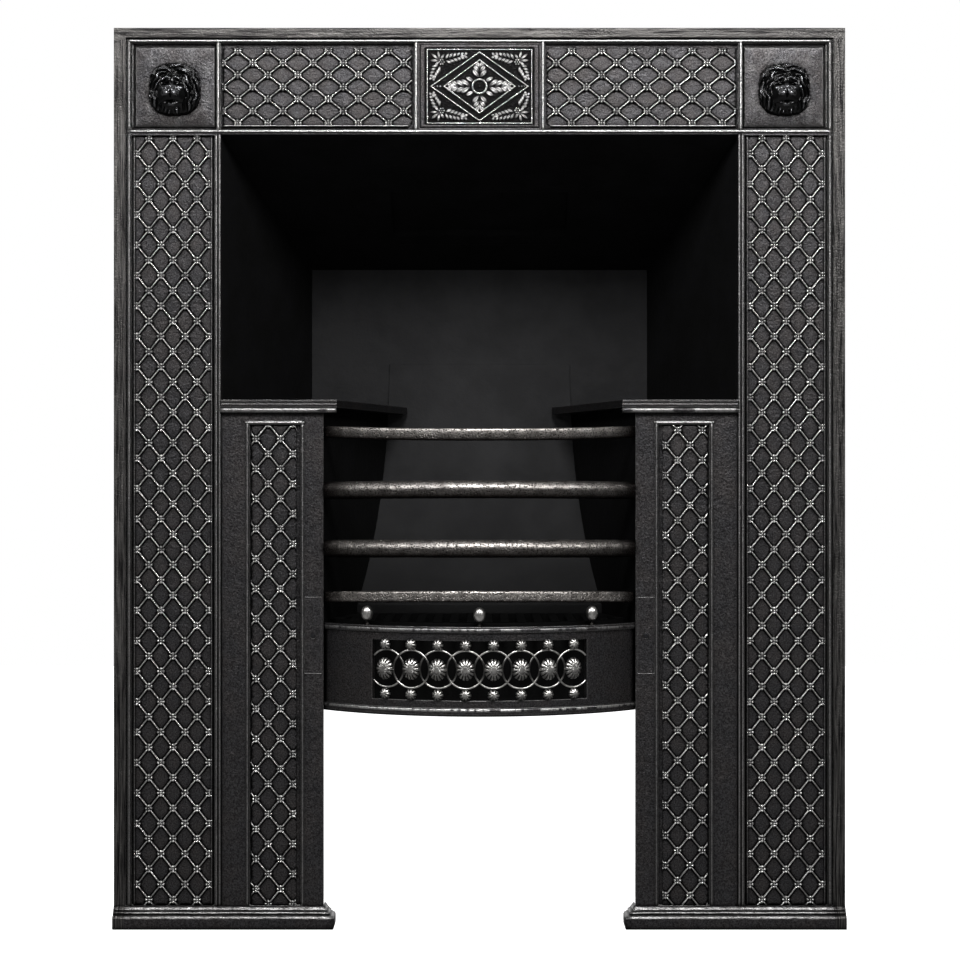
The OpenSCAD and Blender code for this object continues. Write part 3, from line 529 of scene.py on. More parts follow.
# %% Dress the CAD nodes
FINISHES = {
    "blackleaded_iron": BLACKLEADED,
    "polished_black_iron": BUFFED_BLACK,
    "sooted_iron": SOOT_WITH_PAINTED_SHADE,
    "burnished_iron": BURNISHED,
    "polished_steel": POLISHED_STEEL,
    "plain_iron": PLAIN_IRON,
}
MODELLED_FINISHES = {**FINISHES, "blackleaded_iron": ORNAMENT}
finish_of = {part["node"]: FINISHES[part["material_slot"]] for part in frame["record"]["subparts"]}
for name in ("fireback_lower", "fireback_upper"):
    finish_of[name] = FIREBACK_SOOT
for name, node in nodes.items():
    for material_slot in node.material_slots:
        material_slot.material = finish_of[name]
print("dressed", len(finish_of), "CAD nodes")


def settle(slot, piece, *replaced):
    """Gives a modelled piece its finish, slot and body, and hides the CAD nodes that it stands for."""
    piece.data.materials.append(MODELLED_FINISHES[slot])
    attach(piece, "fireplace")
    if replaced:
        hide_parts(*replaced)


# %% [markdown]
# ## The lattice
# Every flat field carries a lattice of slanting ribs with a small rosette at each crossing.
# The pattern repeats over a thousand times, so it must be light and still crisp. A plain square
# grid would cut across the slanting ribs and leave them ragged. Here the grid's own lines run
# along the ribs instead. u counts ribs of one slant and v ribs of the other, both whole numbers
# on a rib, and the lines crowd together near whole numbers, where the shape changes fast.

# %% Lattice formulas
RIB_HALF = 1.0
RIB_RISE = 2.1
BALL_R = 1.5
BALL_OUT = 2.8
ROSETTE_RISE = 2.5
ROSETTE_R = 3.4
SHADE_DISC_R = 5.4
LOW_RIB_SHARE = 0.45
LATTICE_GROUND = 0.7
NEAR_RIB = (0, 0.45, 0.85, 1.2, 1.6, 2.1, 2.7, 3.4, 4.3)


def crowded_steps(spacing):
    """Positions from 0 to 1 across one cell, crowded within 4 mm of each rib; spacing is the cell in mm."""
    near = np.array(NEAR_RIB) / spacing
    middle = np.linspace(near[-1], 1 - near[-1], 4)[1:-1]
    return np.concatenate([near, middle, 1 - near[:0:-1]])


def rib_height(u, v, spacing):
    """Round ribs, whose rise falls like a circle's edge, and the distance in mm to the nearest of them."""
    near_u = np.abs(u - np.round(u)) * spacing
    near_v = np.abs(v - np.round(v)) * spacing
    nearest = np.minimum(near_u, near_v)
    return RIB_RISE * np.clip(1 - (nearest / RIB_HALF) ** 2, 0, 1) ** 0.7, nearest


def rosette_height(u, v, pitch_x, pitch_z):
    """Four balls and a smaller middle one round the nearest crossing, and the distance in mm from it."""
    off_u, off_v = u - np.round(u), v - np.round(v)
    x = (off_u + off_v) * pitch_x / 2
    z = (off_u - off_v) * pitch_z / 2
    rise = 0.85 * ROSETTE_RISE * np.sqrt(np.clip(1 - (x * x + z * z) / 1.1, 0, 1))
    for ball_x, ball_z in ((BALL_OUT, 0), (-BALL_OUT, 0), (0, BALL_OUT), (0, -BALL_OUT)):
        far = ((x - ball_x) ** 2 + (z - ball_z) ** 2) / BALL_R ** 2
        rise = np.maximum(rise, ROSETTE_RISE * np.sqrt(np.clip(1 - far, 0, 1)))
    return rise, np.sqrt(x * x + z * z)


print("steps across a cell of 20 mm:", len(crowded_steps(20.0)))


# %% [markdown]
# The grid of u and v is a diamond net over the whole field, larger than the field itself.
# Points outside are pulled to the field's edge and faces wholly outside are dropped, which
# trims the net to a rectangle with clean straight sides, as the pattern maker's saw did.

# %% Lattice builder
def lattice(name, low, high, node_at, pitch):
    """A lattice over the field from low to high (x, z in mm), with a rosette at node_at."""
    spacing = 1 / math.sqrt(1 / pitch[0] ** 2 + 1 / pitch[1] ** 2)
    corners = np.array([[x, z] for x in (low[0], high[0]) for z in (low[1], high[1])]) - node_at
    us = corners[:, 0] / pitch[0] + corners[:, 1] / pitch[1]
    vs = corners[:, 0] / pitch[0] - corners[:, 1] / pitch[1]
    steps = crowded_steps(spacing)[:-1]
    u = (np.arange(math.floor(us.min()), math.ceil(us.max()) + 1)[:, None] + steps).ravel()
    v = (np.arange(math.floor(vs.min()), math.ceil(vs.max()) + 1)[:, None] + steps).ravel()
    u, v = np.meshgrid(u, v, indexing="ij")
    x = node_at[0] + (u + v) * pitch[0] / 2
    z = node_at[1] + (u - v) * pitch[1] / 2
    inside = (x > low[0]) & (x < high[0]) & (z > low[1]) & (z < high[1])
    x, z = np.clip(x, low[0], high[0]), np.clip(z, low[1], high[1])
    u = (x - node_at[0]) / pitch[0] + (z - node_at[1]) / pitch[1]
    v = (x - node_at[0]) / pitch[0] - (z - node_at[1]) / pitch[1]
    rosette, from_node = rosette_height(u, v, *pitch)
    drift = 1 + 0.12 * ripple(x, z, 60, node_at[0]) + 0.1 * ripple(x, z, 11)
    ribs, from_rib = rib_height(u, v, spacing)
    ribs = ribs * np.where(from_node < ROSETTE_R, LOW_RIB_SHARE, 1)
    rise = np.maximum(ribs, rosette) * drift
    ground = LATTICE_GROUND + 0.12 * ripple(x, z, 17, 1.0)
    faces = grid_faces(*x.shape)
    faces = faces[inside.ravel()[faces].any(axis=1)]
    used, faces = np.unique(faces, return_inverse=True)
    points = place(x.ravel()[used], (FIELD_FLOOR - ground - rise).ravel()[used], z.ravel()[used])
    # Tone: the tops of ribs and rosette balls are rubbed bright, wear with a painted highlight; painted shade
    # lies in a band along the rib bases and in a disc round each rosette.
    painted_shade_band = np.maximum(np.exp(-((from_rib - RIB_HALF - 0.6) / 1.2) ** 2), from_node < SHADE_DISC_R)
    crest = smooth_step(rise, 0.9, 1.7) * (0.9 + 0.4 * ripple(x, z, 23))
    tone = np.where(rise > 0.8, crest, -painted_shade_band).ravel()[used]
    return make_piece(name, close_back(points, faces.reshape(-1, 4), tone))


print("lattice builder ready")

# %% [markdown]
# ## Six fields
# The header has a field each side of the tablet, and each jamb and hob front has one. The
# patterns were laid out a little differently, so the pitch and the first rosette are given
# field by field.

# %% Header, jamb and hob lattices
PLINTH_TOP = 24
JAMB_PITCH = (25.9, 32.67)
HEADER_PITCH = (32.4, 25.9)
HOB_PITCH = (26.4, 32.2)
LATTICES = {
    "header_lattice_left": ((-275.5, 860.5), (-72.4, 943.4), (-259.6, 915.0), HEADER_PITCH),
    "header_lattice_right": ((72.4, 860.5), (275.5, 943.4), (260.6, 915.0), HEADER_PITCH),
    "jamb_lattice_left": ((-370.4, PLINTH_TOP), (-287.4, 850), (-329, 846.7), JAMB_PITCH),
    "jamb_lattice_right": ((287.4, PLINTH_TOP), (370.4, 850), (329, 846.7), JAMB_PITCH),
    "hob_lattice_left": ((-245, PLINTH_TOP), (-196.7, 539), (-240, 524.4), HOB_PITCH),
    "hob_lattice_right": ((196.7, PLINTH_TOP), (245, 539), (225.8, 517.5), HOB_PITCH),
}
for name, field in LATTICES.items():
    settle("blackleaded_iron", lattice(name, *field))

# %% [markdown]
# ## Beads
# Fine half-round beads outline every field. The CAD model has them, but a polished crest needs a truer curve
# and its own tone: a painted highlight along the crest and painted shade down the flanks. Each bead here is a
# half-round run from one point to another, a hair larger than the CAD bead that it covers, and it wavers a
# little as sand castings do.

# %% Straight beads
BEAD_HALF = 1.6
BEAD_PROUD = 1.75
FOOT = -0.6


def bead(start, end, bright, depth=0.0, half=BEAD_HALF, proud=BEAD_PROUD, crest=0.72):
    """A half-round run in the frame's plane: across it the rise is a circle's, and its foot is sunk.
    It carries a painted highlight, of strength bright, only above crest, a share of its rise, and painted
    shade down its flanks."""
    length = math.hypot(end[0] - start[0], end[1] - start[1])
    along_x, along_z = (end[0] - start[0]) / length, (end[1] - start[1]) / length
    station = np.linspace(0, length, max(3, int(length / 4)))[:, None]
    turn = np.linspace(0, math.pi, 17)[None, :]
    waver = 1 + 0.05 * ripple(station + start[0], station * 0 + start[1], 40)
    side = np.concatenate([half * np.cos(turn), [[-half, half]]], axis=1) * np.ones_like(station)
    out = np.concatenate([proud * np.sin(turn) * waver, np.full((len(station), 2), FOOT)], axis=1)
    x = start[0] + station * along_x - side * along_z
    z = start[1] + station * along_z + side * along_x
    wear_and_painted_light = bright * (0.85 + 0.3 * ripple(x, z, 31)) * smooth_step(out / proud, crest, 0.98)
    return close_ends(place(x, depth - out, z), np.where(out > 0.5 * proud, wear_and_painted_light, -0.8))


def both(bright, *runs, **sizes):
    """Each bead run, and its mirror image on the other side of the middle."""
    mirrored = [((-a[0], a[1]), (-b[0], b[1])) for a, b in runs]
    return [bead(a, b, bright, **sizes) for a, b in [*runs, *mirrored]]


def upright(low, high, *at_x):
    """Runs from one height to another at each distance from the middle."""
    return [((x, low), (x, high)) for x in at_x]


OUTER_X, HEADER_TOP, HEADER_LOW = 375.5, 950.8, 854.0
FINE = {"depth": 2.6, "half": 1.0, "proud": 1.6}
CHANNEL_EDGE = {"depth": 3, "half": 1.2, "proud": 1.7}
# Each bead's bright value is the strength of its painted highlight: strong on level beads, whose crests face
# the lamp above, and weak on the upright ones, in the header, the jambs and the hobs alike.
settle("blackleaded_iron", make_piece(
    "header_beads",
    *[bead((-OUTER_X - 1.5, z), (OUTER_X + 1.5, z), 0.85) for z in (HEADER_TOP, HEADER_LOW)],
    *both(0.75, *upright(HEADER_LOW, HEADER_TOP, 280, 68)),
    *both(0.35, *upright(HEADER_LOW, HEADER_TOP, OUTER_X)),
    *both(0.6, ((76, 860.2), (275, 860.2)), **FINE),
    *both(0.2, *upright(856, 948.6, 371.9), **FINE)))
settle("blackleaded_iron", make_piece(
    "jamb_beads",
    *both(0.3, *upright(PLINTH_TOP, 851, OUTER_X, 282.1, 278.5)),
    *both(0.1, *upright(PLINTH_TOP, 849, 370.4, 287.4), **CHANNEL_EDGE)))
settle("blackleaded_iron", make_piece(
    "hob_beads",
    *both(0.25, *upright(PLINTH_TOP, 541, 249, 189.7), depth=1.0),
    *both(0.9, ((187.2, 542), (251.5, 542)), depth=1.0)))

# %% [markdown]
# Each hob plate has a moulded front edge. Its fat lower torus, where hands and kettles rub, carries a blotchy
# painted highlight on its front and painted shade down its flanks, while the fine reeds above it stay dark.

# %% Hob nosings
HOB_EDGE_FROM, HOB_EDGE_TO, HOB_EDGE_Z = 153, 277.7, 555
nosings = both(0.35, ((HOB_EDGE_FROM, HOB_EDGE_Z), (HOB_EDGE_TO, HOB_EDGE_Z)),
               depth=-2, half=3.05, proud=3.05, crest=0.3)
settle("blackleaded_iron", make_piece("hob_nosings", *nosings))
print("each nosing is", round(HOB_EDGE_TO - HOB_EDGE_FROM, 1), "mm long")

# %% [markdown]
# ## Corner panels
# Behind each lion mask lies a plain square panel. Its face swells like a shallow cushion and its
# edges drop to the channel inside the beads. That swell is why its upper part catches light.

# %% Corner panels
PANEL_LOW, PANEL_HIGH = (283.1, 858.4), (369.9, 945.4)
ROLLOVER, ROLLOVER_RISE = 3, 1.6
CUSHION_REACH, CUSHION_RISE = 8, 1.6


def corner_panel(name, side):
    """A square grid: a rim that rolls over close to its edge, and a swell that grows away from the edge."""
    across, up = (np.linspace(PANEL_LOW[k], PANEL_HIGH[k], 120) for k in (0, 1))
    x, z = np.meshgrid(across, up, indexing="ij")
    inside = np.minimum(np.minimum(x - PANEL_LOW[0], PANEL_HIGH[0] - x),
                        np.minimum(z - PANEL_LOW[1], PANEL_HIGH[1] - z))
    rise = ROLLOVER_RISE * np.sqrt(1 - (1 - np.clip(inside / ROLLOVER, 0, 1)) ** 2)
    rise = rise + CUSHION_RISE * (1 - np.exp(-inside / CUSHION_REACH))
    rise = rise + 0.15 * ripple(x, z, 26) * smooth_step(inside, 0, 6)
    # Tone: a faint painted highlight in a band along the rolled edge, and a slight random unevenness.
    tone = 0.15 * np.exp(-((inside - 1.2) / 1.0) ** 2) + 0.06 * ripple(x, z, 19)
    points = place(side * x, FIELD_FLOOR - 0.1 - rise, z)
    return make_piece(name, close_back(points, grid_faces(*x.shape), tone))


for side_name, side in SIDES.items():
    settle("blackleaded_iron", corner_panel("corner_panel_" + side_name, side))

# %% [markdown]
# ## The plinths
# Each foot is a moulded block: a worn sloping ledge, a reed, a round shoulder and a plain face
# with a rolled foot. The moulding returns round the inner end. One outline of how far it stands
# out at each height is carried along the front and round the corner, with a mitre there.

# %% Plinths
PLINTH_OUTLINE = ((0, 24), (0.8, 23.8), (3.2, 21.5), (3.9, 20.4), (3.4, 19.2), (5.2, 18.6), (6.4, 17.6),
                  (6.4, 16.6), (5.4, 15.6), (8.0, 15.0), (10.0, 13.9), (10.8, 12.4), (11, 11.0), (11, 2.4),
                  (10.2, 0.3), (8.6, 0))
PLINTH_DIPS = (19.1, 15.5)
PLINTH_PROUD = 11
FRAME_HALF = 392
BASKET_SIDE = 167.5
RETURN_SHARE = 1.1
RETURN_DEPTH = 20


def rounded_line(points, passes):
    """Corner cutting: each pass swaps a corner for two points a quarter of the way along its two sides."""
    line = np.array(points, float)
    for _ in range(passes):
        cut_in, cut_out = 0.75 * line[:-1] + 0.25 * line[1:], 0.25 * line[:-1] + 0.75 * line[1:]
        middle = np.stack([cut_in, cut_out], axis=1).reshape(-1, 2)
        line = np.concatenate([line[:1], middle[1:-1], line[-1:]])
    return line


def plinth(name, side):
    """The outline carried from the outer end along the front, round the inner corner and past the plate."""
    outline = rounded_line(PLINTH_OUTLINE, 2)
    proud = np.append(outline[:, 0], 0)[None, :]
    height = np.append(outline[:, 1], 0)[None, :]
    front = np.linspace(FRAME_HALF, BASKET_SIDE, 90)[:, None]
    flaw = 0.5 * ripple(front, 2 * height, 13) + 0.35 * ripple(front, 2 * height, 5)
    standing = np.clip(proud + flaw * smooth_step(height, 8, 14) * (proud > 0.5), 0, PLINTH_PROUD)
    ends = RETURN_SHARE * standing[-1:]
    x = np.concatenate([front * np.ones_like(proud), BASKET_SIDE - ends, BASKET_SIDE - ends])
    depth = np.concatenate([-standing, -standing[-1:], np.full_like(proud, RETURN_DEPTH)])
    x[-3] = BASKET_SIDE
    # Tone: a painted highlight over the upper part from the round shoulder up, fading towards the outer end;
    # painted shade, near black, in the two reed dips and along the top where the ledge meets the frame.
    wear_and_painted_light = 0.4 * smooth_step(height, 11.3, 14.0) * (0.75 + 0.6 * ripple(x, 3 * height, 9)) * (proud > 0.3)
    dips = sum(np.exp(-((height - dip) / 0.55) ** 2) for dip in PLINTH_DIPS) * np.ones_like(x)
    wear_and_painted_light = wear_and_painted_light * smooth_step(FRAME_HALF - np.abs(x), 2, 30) - 0.8 * smooth_step(height, 22.2, 23.4)
    points = place(side * x, depth, height * np.ones_like(x))
    return make_piece(name, close_ends(points, np.where(dips > 0.4, -dips, wear_and_painted_light)))


for side_name, side in SIDES.items():
    settle("blackleaded_iron", plinth("moulded_plinth_" + side_name, side), "plinth_" + side_name)

# %% [markdown]
# ## Leaves
# The tablet's foliage is built from one shape, a leaflet: narrow at its base, widest past its
# middle, round at its tip and on top, and creased down the middle. Leaflets stand in fans or in
# pairs along a stem, and the highest one wins where they overlap, which is how a carver
# undercuts one leaf behind another.

# %% Leaflets, fans and sprays
LEAFLET_WIDTH = 3.4
LEAFLET_RISE = 1.7
FAN = ((0, 1.0), (38, 0.9), (-38, 0.9), (84, 0.7), (-84, 0.7))


def leaflet(x, z, base, tip, width=LEAFLET_WIDTH, rise=LEAFLET_RISE):
    """Rise of one leaflet: a swelling sine along its length times a round top across, less a crease."""
    along_x, along_z = tip[0] - base[0], tip[1] - base[1]
    length = math.hypot(along_x, along_z)
    along_x, along_z = along_x / length, along_z / length
    a = ((x - base[0]) * along_x + (z - base[1]) * along_z) / length
    b = (z - base[1]) * along_x - (x - base[0]) * along_z
    inside = np.clip(a, 0, 1)
    half = 0.5 * width * np.sin(math.pi * inside ** 1.5) ** 0.6 + 1e-6
    top = np.sqrt(np.clip(1 - (b / half) ** 2, 0, 1))
    crease = 0.4 * np.exp(-(b / (0.14 * width)) ** 2) * (1 - 0.7 * inside)
    curl = 0.65 + 0.35 * np.sin(math.pi * inside)
    return np.where((a > 0) & (a < 1), rise * (top - crease * top) * curl, 0.0)


def fan(x, z, base, tip):
    """Leaflets from one base: the first reaches the tip, the others are turned off it and shorter."""
    reach = np.array(tip) - base
    leaflets = []
    for degrees, share in FAN:
        c, s = math.cos(math.radians(degrees)), math.sin(math.radians(degrees))
        end = base + share * np.array([reach[0] * c - reach[1] * s, reach[0] * s + reach[1] * c])
        leaflets.append(leaflet(x, z, base, end))
    return np.maximum.reduce(leaflets)


def spray(x, z, start, tip, bend, pairs, reach, width=LEAFLET_WIDTH, spread=0.72):
    """Pairs of leaflets along a bent stem, spread radians off it, and one at its tip; reach is the length
    in mm of the first pair, and the last is about half as long."""
    along = np.array(tip) - start
    stem = np.hypot(*along)
    heading = math.atan2(along[1], along[0])
    leaflets = [leaflet(x, z, start + 0.62 * along, tip, width)]
    for k in range(pairs):
        t = (k + 0.3) / pairs
        off = bend * stem * 4 * t * (1 - t)
        base = start + t * along + off * np.array([-along[1], along[0]]) / stem
        turn = bend * 4 * (1 - 2 * t)
        for side in (-1, 1):
            way = heading + turn + side * spread
            end = base + reach * (1 - 0.5 * t) * np.array([math.cos(way), math.sin(way)])
            leaflets.append(leaflet(x, z, base, end, width))
    return np.maximum.reduce(leaflets)


print("a leaflet 20 mm long peaks at", round(float(leaflet(
    np.linspace(0, 20, 99), np.zeros(99) + 1.0, (0, 0), (20, 0), 5, 1.5).max()), 2), "mm")

# %% [markdown]
# ## The centre tablet
# The tablet is a separate casting let into the header: a raised rim, a plain frame, a double lozenge, an
# eyelet in the middle with four sprays round it, and in each corner a rosette with a fan and two sprays. It
# is one height drawn over a flat rectangle, so a square grid of 0.36 mm does it. The tops are rubbed bright,
# wear with a painted highlight, and the sunk ground and most of the rim carry painted shade, near black.

# %% Tablet relief
TABLET_HALF = (64, 44.5)
TABLET_Z = 902.3
TABLET_FLOOR = 1.2
FRAME_LINE = (56, 39.5)
OUTER_LOZENGE, INNER_LOZENGE = (52, 36.7), (38, 28.4)
LINE_RISE = 1.9
EYELET_R = 7.5
CORNER_ROSETTE = (40.5, 26)
LOZENGE_DOTS = (42.2, 45.2, 48.4)


def ridge(distance, half, rise):
    """A half-round line: its rise falls as a circle's edge does with the distance from its middle."""
    return rise * np.sqrt(np.clip(1 - (distance / half) ** 2, 0, 1))


def box_distance(x, z, half_w, half_h):
    """Distance to the outline of a rectangle about the middle: 0 on it, less inside, more outside."""
    return np.maximum(np.abs(x) - half_w, np.abs(z) - half_h)


def lozenge_distance(x, z, half_w, half_h):
    """Distance to the outline of a lozenge about the middle, along its sides' normals."""
    return (np.abs(x) / half_w + np.abs(z) / half_h - 1) / math.hypot(1 / half_w, 1 / half_h)


def tablet_height(x, z):
    """Rise above the sunk floor: at each point the highest of rim, lines, sprays, fans and rosettes."""
    ax, az = np.abs(x), np.abs(z)
    rim = 2.2 * smooth_step(box_distance(x, z, 57.8, 41.3), -0.5, 0.4)
    rim = rim - 0.5 * smooth_step(box_distance(x, z, *TABLET_HALF), -1.6, 0.0)
    from_lozenge = lozenge_distance(x, z, *OUTER_LOZENGE)
    from_middle = np.hypot(x, z)
    shapes = [
        rim,
        ridge(box_distance(x, z, *FRAME_LINE), 0.85, LINE_RISE),
        ridge(from_lozenge, 0.9, LINE_RISE),
        ridge(lozenge_distance(x, z, *INNER_LOZENGE), 0.9, LINE_RISE),
        spray(ax, z, (7.6, 0), (33.5, 0), 0, 4, 13.0, 6.2, 0.6),
        spray(x, az, (0, 7.4), (0, 25.4), 0, 3, 12.0, 5.8),
        leaflet(ax, az, (5.2, 4.8), (14.6, 9.8), 5.4, 1.8),
        fan(ax, az, (42.4, 27.6), (51.6, 35.0)),
        spray(ax, az, (38.6, 27.5), (13.6, 33.0), -0.03, 6, 9.0),
        spray(ax, az, (42.6, 23.6), (51.0, 7.0), 0.05, 5, 8.5),
        ridge(np.hypot(ax - CORNER_ROSETTE[0], az - CORNER_ROSETTE[1]), 1.0, LINE_RISE)]
    for angle in np.arange(6) * math.pi / 3:
        petal_x = CORNER_ROSETTE[0] + 2.5 * math.cos(angle)
        petal_z = CORNER_ROSETTE[1] + 2.5 * math.sin(angle)
        shapes.append(ridge(np.hypot(ax - petal_x, az - petal_z), 1.35, LEAFLET_RISE))
    for dot_x in LOZENGE_DOTS:
        shapes.append(ridge(np.hypot(ax - dot_x, az), 1.3, LEAFLET_RISE))
    cleared = ((from_lozenge > -1.8) & (from_lozenge < -0.9)) | (np.abs(from_lozenge - 1.4) < 0.5)
    rise = np.where(cleared, 0.0, np.maximum.reduce(shapes))
    rise = np.where(from_middle < 8.8, ridge(from_middle - EYELET_R, 1.2, 2.2), rise)
    return np.where(from_middle < 5.0, np.maximum(rise, ridge(from_middle, 1.5, 0.9)), rise)


def tablet():
    """A square grid of 0.36 mm raised by tablet_height over a pebbled ground, with walls back to its seat."""
    across = np.linspace(-TABLET_HALF[0], TABLET_HALF[0], 351)
    up = np.linspace(-TABLET_HALF[1], TABLET_HALF[1], 245)
    z, x = np.meshgrid(up, across, indexing="ij")
    rise = tablet_height(x, z)
    pebbles = 0.3 * smooth_step(ripple(x, z, 3.1) * ripple(x, z, 2.3, 2.0), 0.0, 0.5)
    depth = TABLET_FLOOR - np.maximum(rise, pebbles) - 0.05 * ripple(x, z, 7)
    # Tone: a painted highlight on the tops of the relief; painted shade, near black, over the sunk ground, a
    # little lighter on its pebbles, and over the rim except along one line on it.
    crest = smooth_step(rise, 1.0, 1.85) * (0.9 + 0.3 * ripple(x, z, 9))
    tone = np.where(rise > 0.8, crest, -0.95 + 2 * pebbles)
    rim = box_distance(x, z, 61.2, 42.9)
    tone = np.where(box_distance(x, z, 57.2, 40.7) > 0, -0.8 * smooth_step(np.abs(rim), 0.9, 2.2), tone)
    return make_piece("tablet_relief", close_back(place(x, depth, z + TABLET_Z), grid_faces(*x.shape), tone))


settle("blackleaded_iron", tablet(), "centre_tablet")

# %% [markdown]
# ## The lion masks
# Each corner block has a lion's head, a stock ornament of the time. It is a low dome with a
# face on it, so it is a height over a disc: a broad mane, a long nose under two brows, round
# muzzle pads with a mouth below, and locks of hair. Polar rings suit it, because the mane's
# outline is then simply how far the outermost ring reaches at each angle.

# %% Lion face
FACE_MARKS = {
    "muzzle_pad": ((5.4, -3.0), (3.3, 3.2), 3.3),
    "nose": ((0, 3.2), (5.2, 2.8), 4.6),
    "nose_bridge": ((0, 7.0), (3.8, 6.5), 1.3),
    "inner_brow": ((5.0, 14.2), (2.6, 1.8), 3.3, -4),
    "outer_brow": ((9.8, 11.8), (2.4, 1.6), 3.2, -34),
    "cheekbone": ((10.2, 2.8), (3.6, 3.4), 1.2),
    "eye_socket": ((7.0, 8.4), (3.9, 2.3), -3.6, -8),
    "eyeball": ((6.9, 7.9), (2.0, 1.25), 2.2, -8),
    "nostril": ((3.4, 1.2), (1.5, 0.8), -1.8, 20),
    "lip_cleft": ((0, -5.4), (0.8, 4.2), -1.8),
    "chin": ((0, -15.6), (5.2, 2.2), 1.5),
    "upper_whiskers": ((6.4, -3.4), (1.8, 0.32), -0.5),
    "middle_whiskers": ((6.4, -5.2), (1.8, 0.32), -0.5),
    "lower_whiskers": ((6.4, -7.0), (1.8, 0.32), -0.5),
}
MOUTH = ((0, -12.2), (7.6, 1.1), 3.0)
MUZZLE = ((0, -6.0), (8.6, 7.0), 5.0)
EGG_HALF = (17.0, 21.0)


def mound(x, z, at, size, rise, turn=0.0):
    """A soft bump: a bell curve about a point, as wide and high as size says, turned by turn degrees."""
    c, s = math.cos(math.radians(turn)), math.sin(math.radians(turn))
    a = (x - at[0]) * c + (z - at[1]) * s
    b = (z - at[1]) * c - (x - at[0]) * s
    return rise * np.exp(-(a / size[0]) ** 2 - (b / size[1]) ** 2)


def lion_face(x, z):
    """Rise of the face: an egg, the muzzle and the marks on it; also the egg, and how far the marks rise,
    less between the eyes, which sets the painted highlight.
    """
    ax = np.abs(x)
    egg = np.clip(1 - (x / EGG_HALF[0]) ** 2 - ((z + 1.5) / EGG_HALF[1]) ** 2, 0, 1)
    marks = sum(mound(ax, z, *mark) for mark in FACE_MARKS.values())
    marks = marks - mound(ax, z, *MOUTH) * (1 + 0.25 * np.cos(ax * 0.5))
    face = 5.0 * egg ** 0.6 + mound(ax, z, *MUZZLE) + marks
    return face, egg, marks * (1 - mound(x, z, (0, 8.5), (2.6, 4.5), 0.8))


print("the nose stands", round(float(lion_face(np.zeros(1), np.ones(1))[0][0]), 1), "mm proud")


# %% [markdown]
# The mane is parted over the forehead and falls like a pair of curtains. Its strands are the
# lines of one field: rings round the brow in the upper half and upright lines below, with a
# wave along them. Broad locks and the fine strands on them are both ripples across that field.

# %% Lion mane
LOCK_WIDTH, LOCK_RISE = 4.4, 3.6
STRAND_WIDTH, STRAND_RISE = 1.5, 0.5
PARTING_HALF, PARTING_SHIFT = 5.0, 3.4
BROW_Z = -2
RING_LENGTH = 24


def mane(x, z):
    """Relief of the hair: locks and strands are waves across a curtain field, broken up lengthwise."""
    ax = np.abs(x)
    high = np.clip(z - BROW_Z, 0, None)
    parting = PARTING_SHIFT * np.exp(-(ax / PARTING_HALF) ** 2) * smooth_step(z, 8, 18)
    from_brow = np.hypot(ax, high / 1.06) + parting
    along = np.where(z > BROW_Z, RING_LENGTH * np.arctan2(ax, high + 1e-3),
                     RING_LENGTH * math.pi / 2 + BROW_Z - z)
    side = np.where(x > 0, 0.0, 1.3)
    waved = from_brow + 1.25 * np.sin(along / 3.9 + side) + 0.5 * np.sin(along / 1.9 + 2 * side)
    across_lock = waved / LOCK_WIDTH + 0.25 * np.sin(along / 9 + side)
    top = np.abs(np.sin(math.pi * across_lock)) ** 0.7
    broken = 0.72 + 0.28 * np.sin(along / 5.2 + 2.3 * np.floor(across_lock) + side)
    strands = np.cos(2 * math.pi * waved / STRAND_WIDTH)
    return LOCK_RISE * top * broken + STRAND_RISE * strands * top


# %% [markdown]
# The face sits low in the mane and is turned a little to one side, by a different amount on
# each mask. Where the egg of the face begins, the hair gives way to it.

# %% Lion masks
MASK_X, MASK_Z, MASK_HALF = 327, 900, 28.6
SQUARENESS = 2.7
DOME_RISE = 10.4
FACE_DROP = 3.6
MOST_PROUD = 24
FACE_TURN = {"left": -2.3, "right": 0.7}


def lion_mask(name, middle_x, turn):
    """Polar rings raised by a dome, the mane and the face; turn moves the face sideways a little."""
    share = np.linspace(0.004, 1, 124)[:, None] ** 0.9
    angle = full_turn(360)
    squarer = (np.abs(np.cos(angle)) ** SQUARENESS + np.abs(np.sin(angle)) ** SQUARENESS) ** (-1 / SQUARENESS)
    outline = MASK_HALF * squarer * (1 - 0.05 * np.minimum(np.sin(angle), 0))
    outline = outline * (1 + 0.01 * np.sin(17 * angle + 1))
    x = share * outline * np.cos(angle)
    z = share * outline * np.sin(angle)
    dome = DOME_RISE * np.sqrt(np.clip(1 - share ** 3, 0, 1)) * np.ones_like(angle)
    face, egg, marks = lion_face(x - turn, z + FACE_DROP)
    hair = mane(x - turn, z) * smooth_step(1 - share, 0.0, 0.1)
    blend = smooth_step(egg, 0.03, 0.3)
    rise = dome + hair * (1 - blend) + face * blend
    points = place(x + middle_x, FIELD_FLOOR - np.clip(rise, 0, MOST_PROUD), z + MASK_Z)
    # Tone: a painted highlight on the crests of the locks and on the face marks that stand up most.
    crest = smooth_step(hair, 2.6, 4.0) * (1 - blend) + blend * smooth_step(marks, 0.5, 2.4)
    return make_piece(name, close_ends(points, crest, True))


for side_name, side in SIDES.items():
    settle("polished_black_iron", lion_mask("lion_relief_" + side_name, side * MASK_X, FACE_TURN[side_name]),
           "lion_mask_" + side_name)

# %% [markdown]
# ## The basket's bars
# Four bars bow forward between the hobs. Two are round, and the top and bottom ones are flat
# bars on edge. Each is a section carried along one arc. The arc's middle is behind the bars,
# so a point of the section that stands further out travels a longer arc, and each line of the
# bar stops where it meets the slanting cheek, as the real bar's end is filed to fit. Heat has
# bent them too: the top bar sags a little in the middle and the others stand up a little.

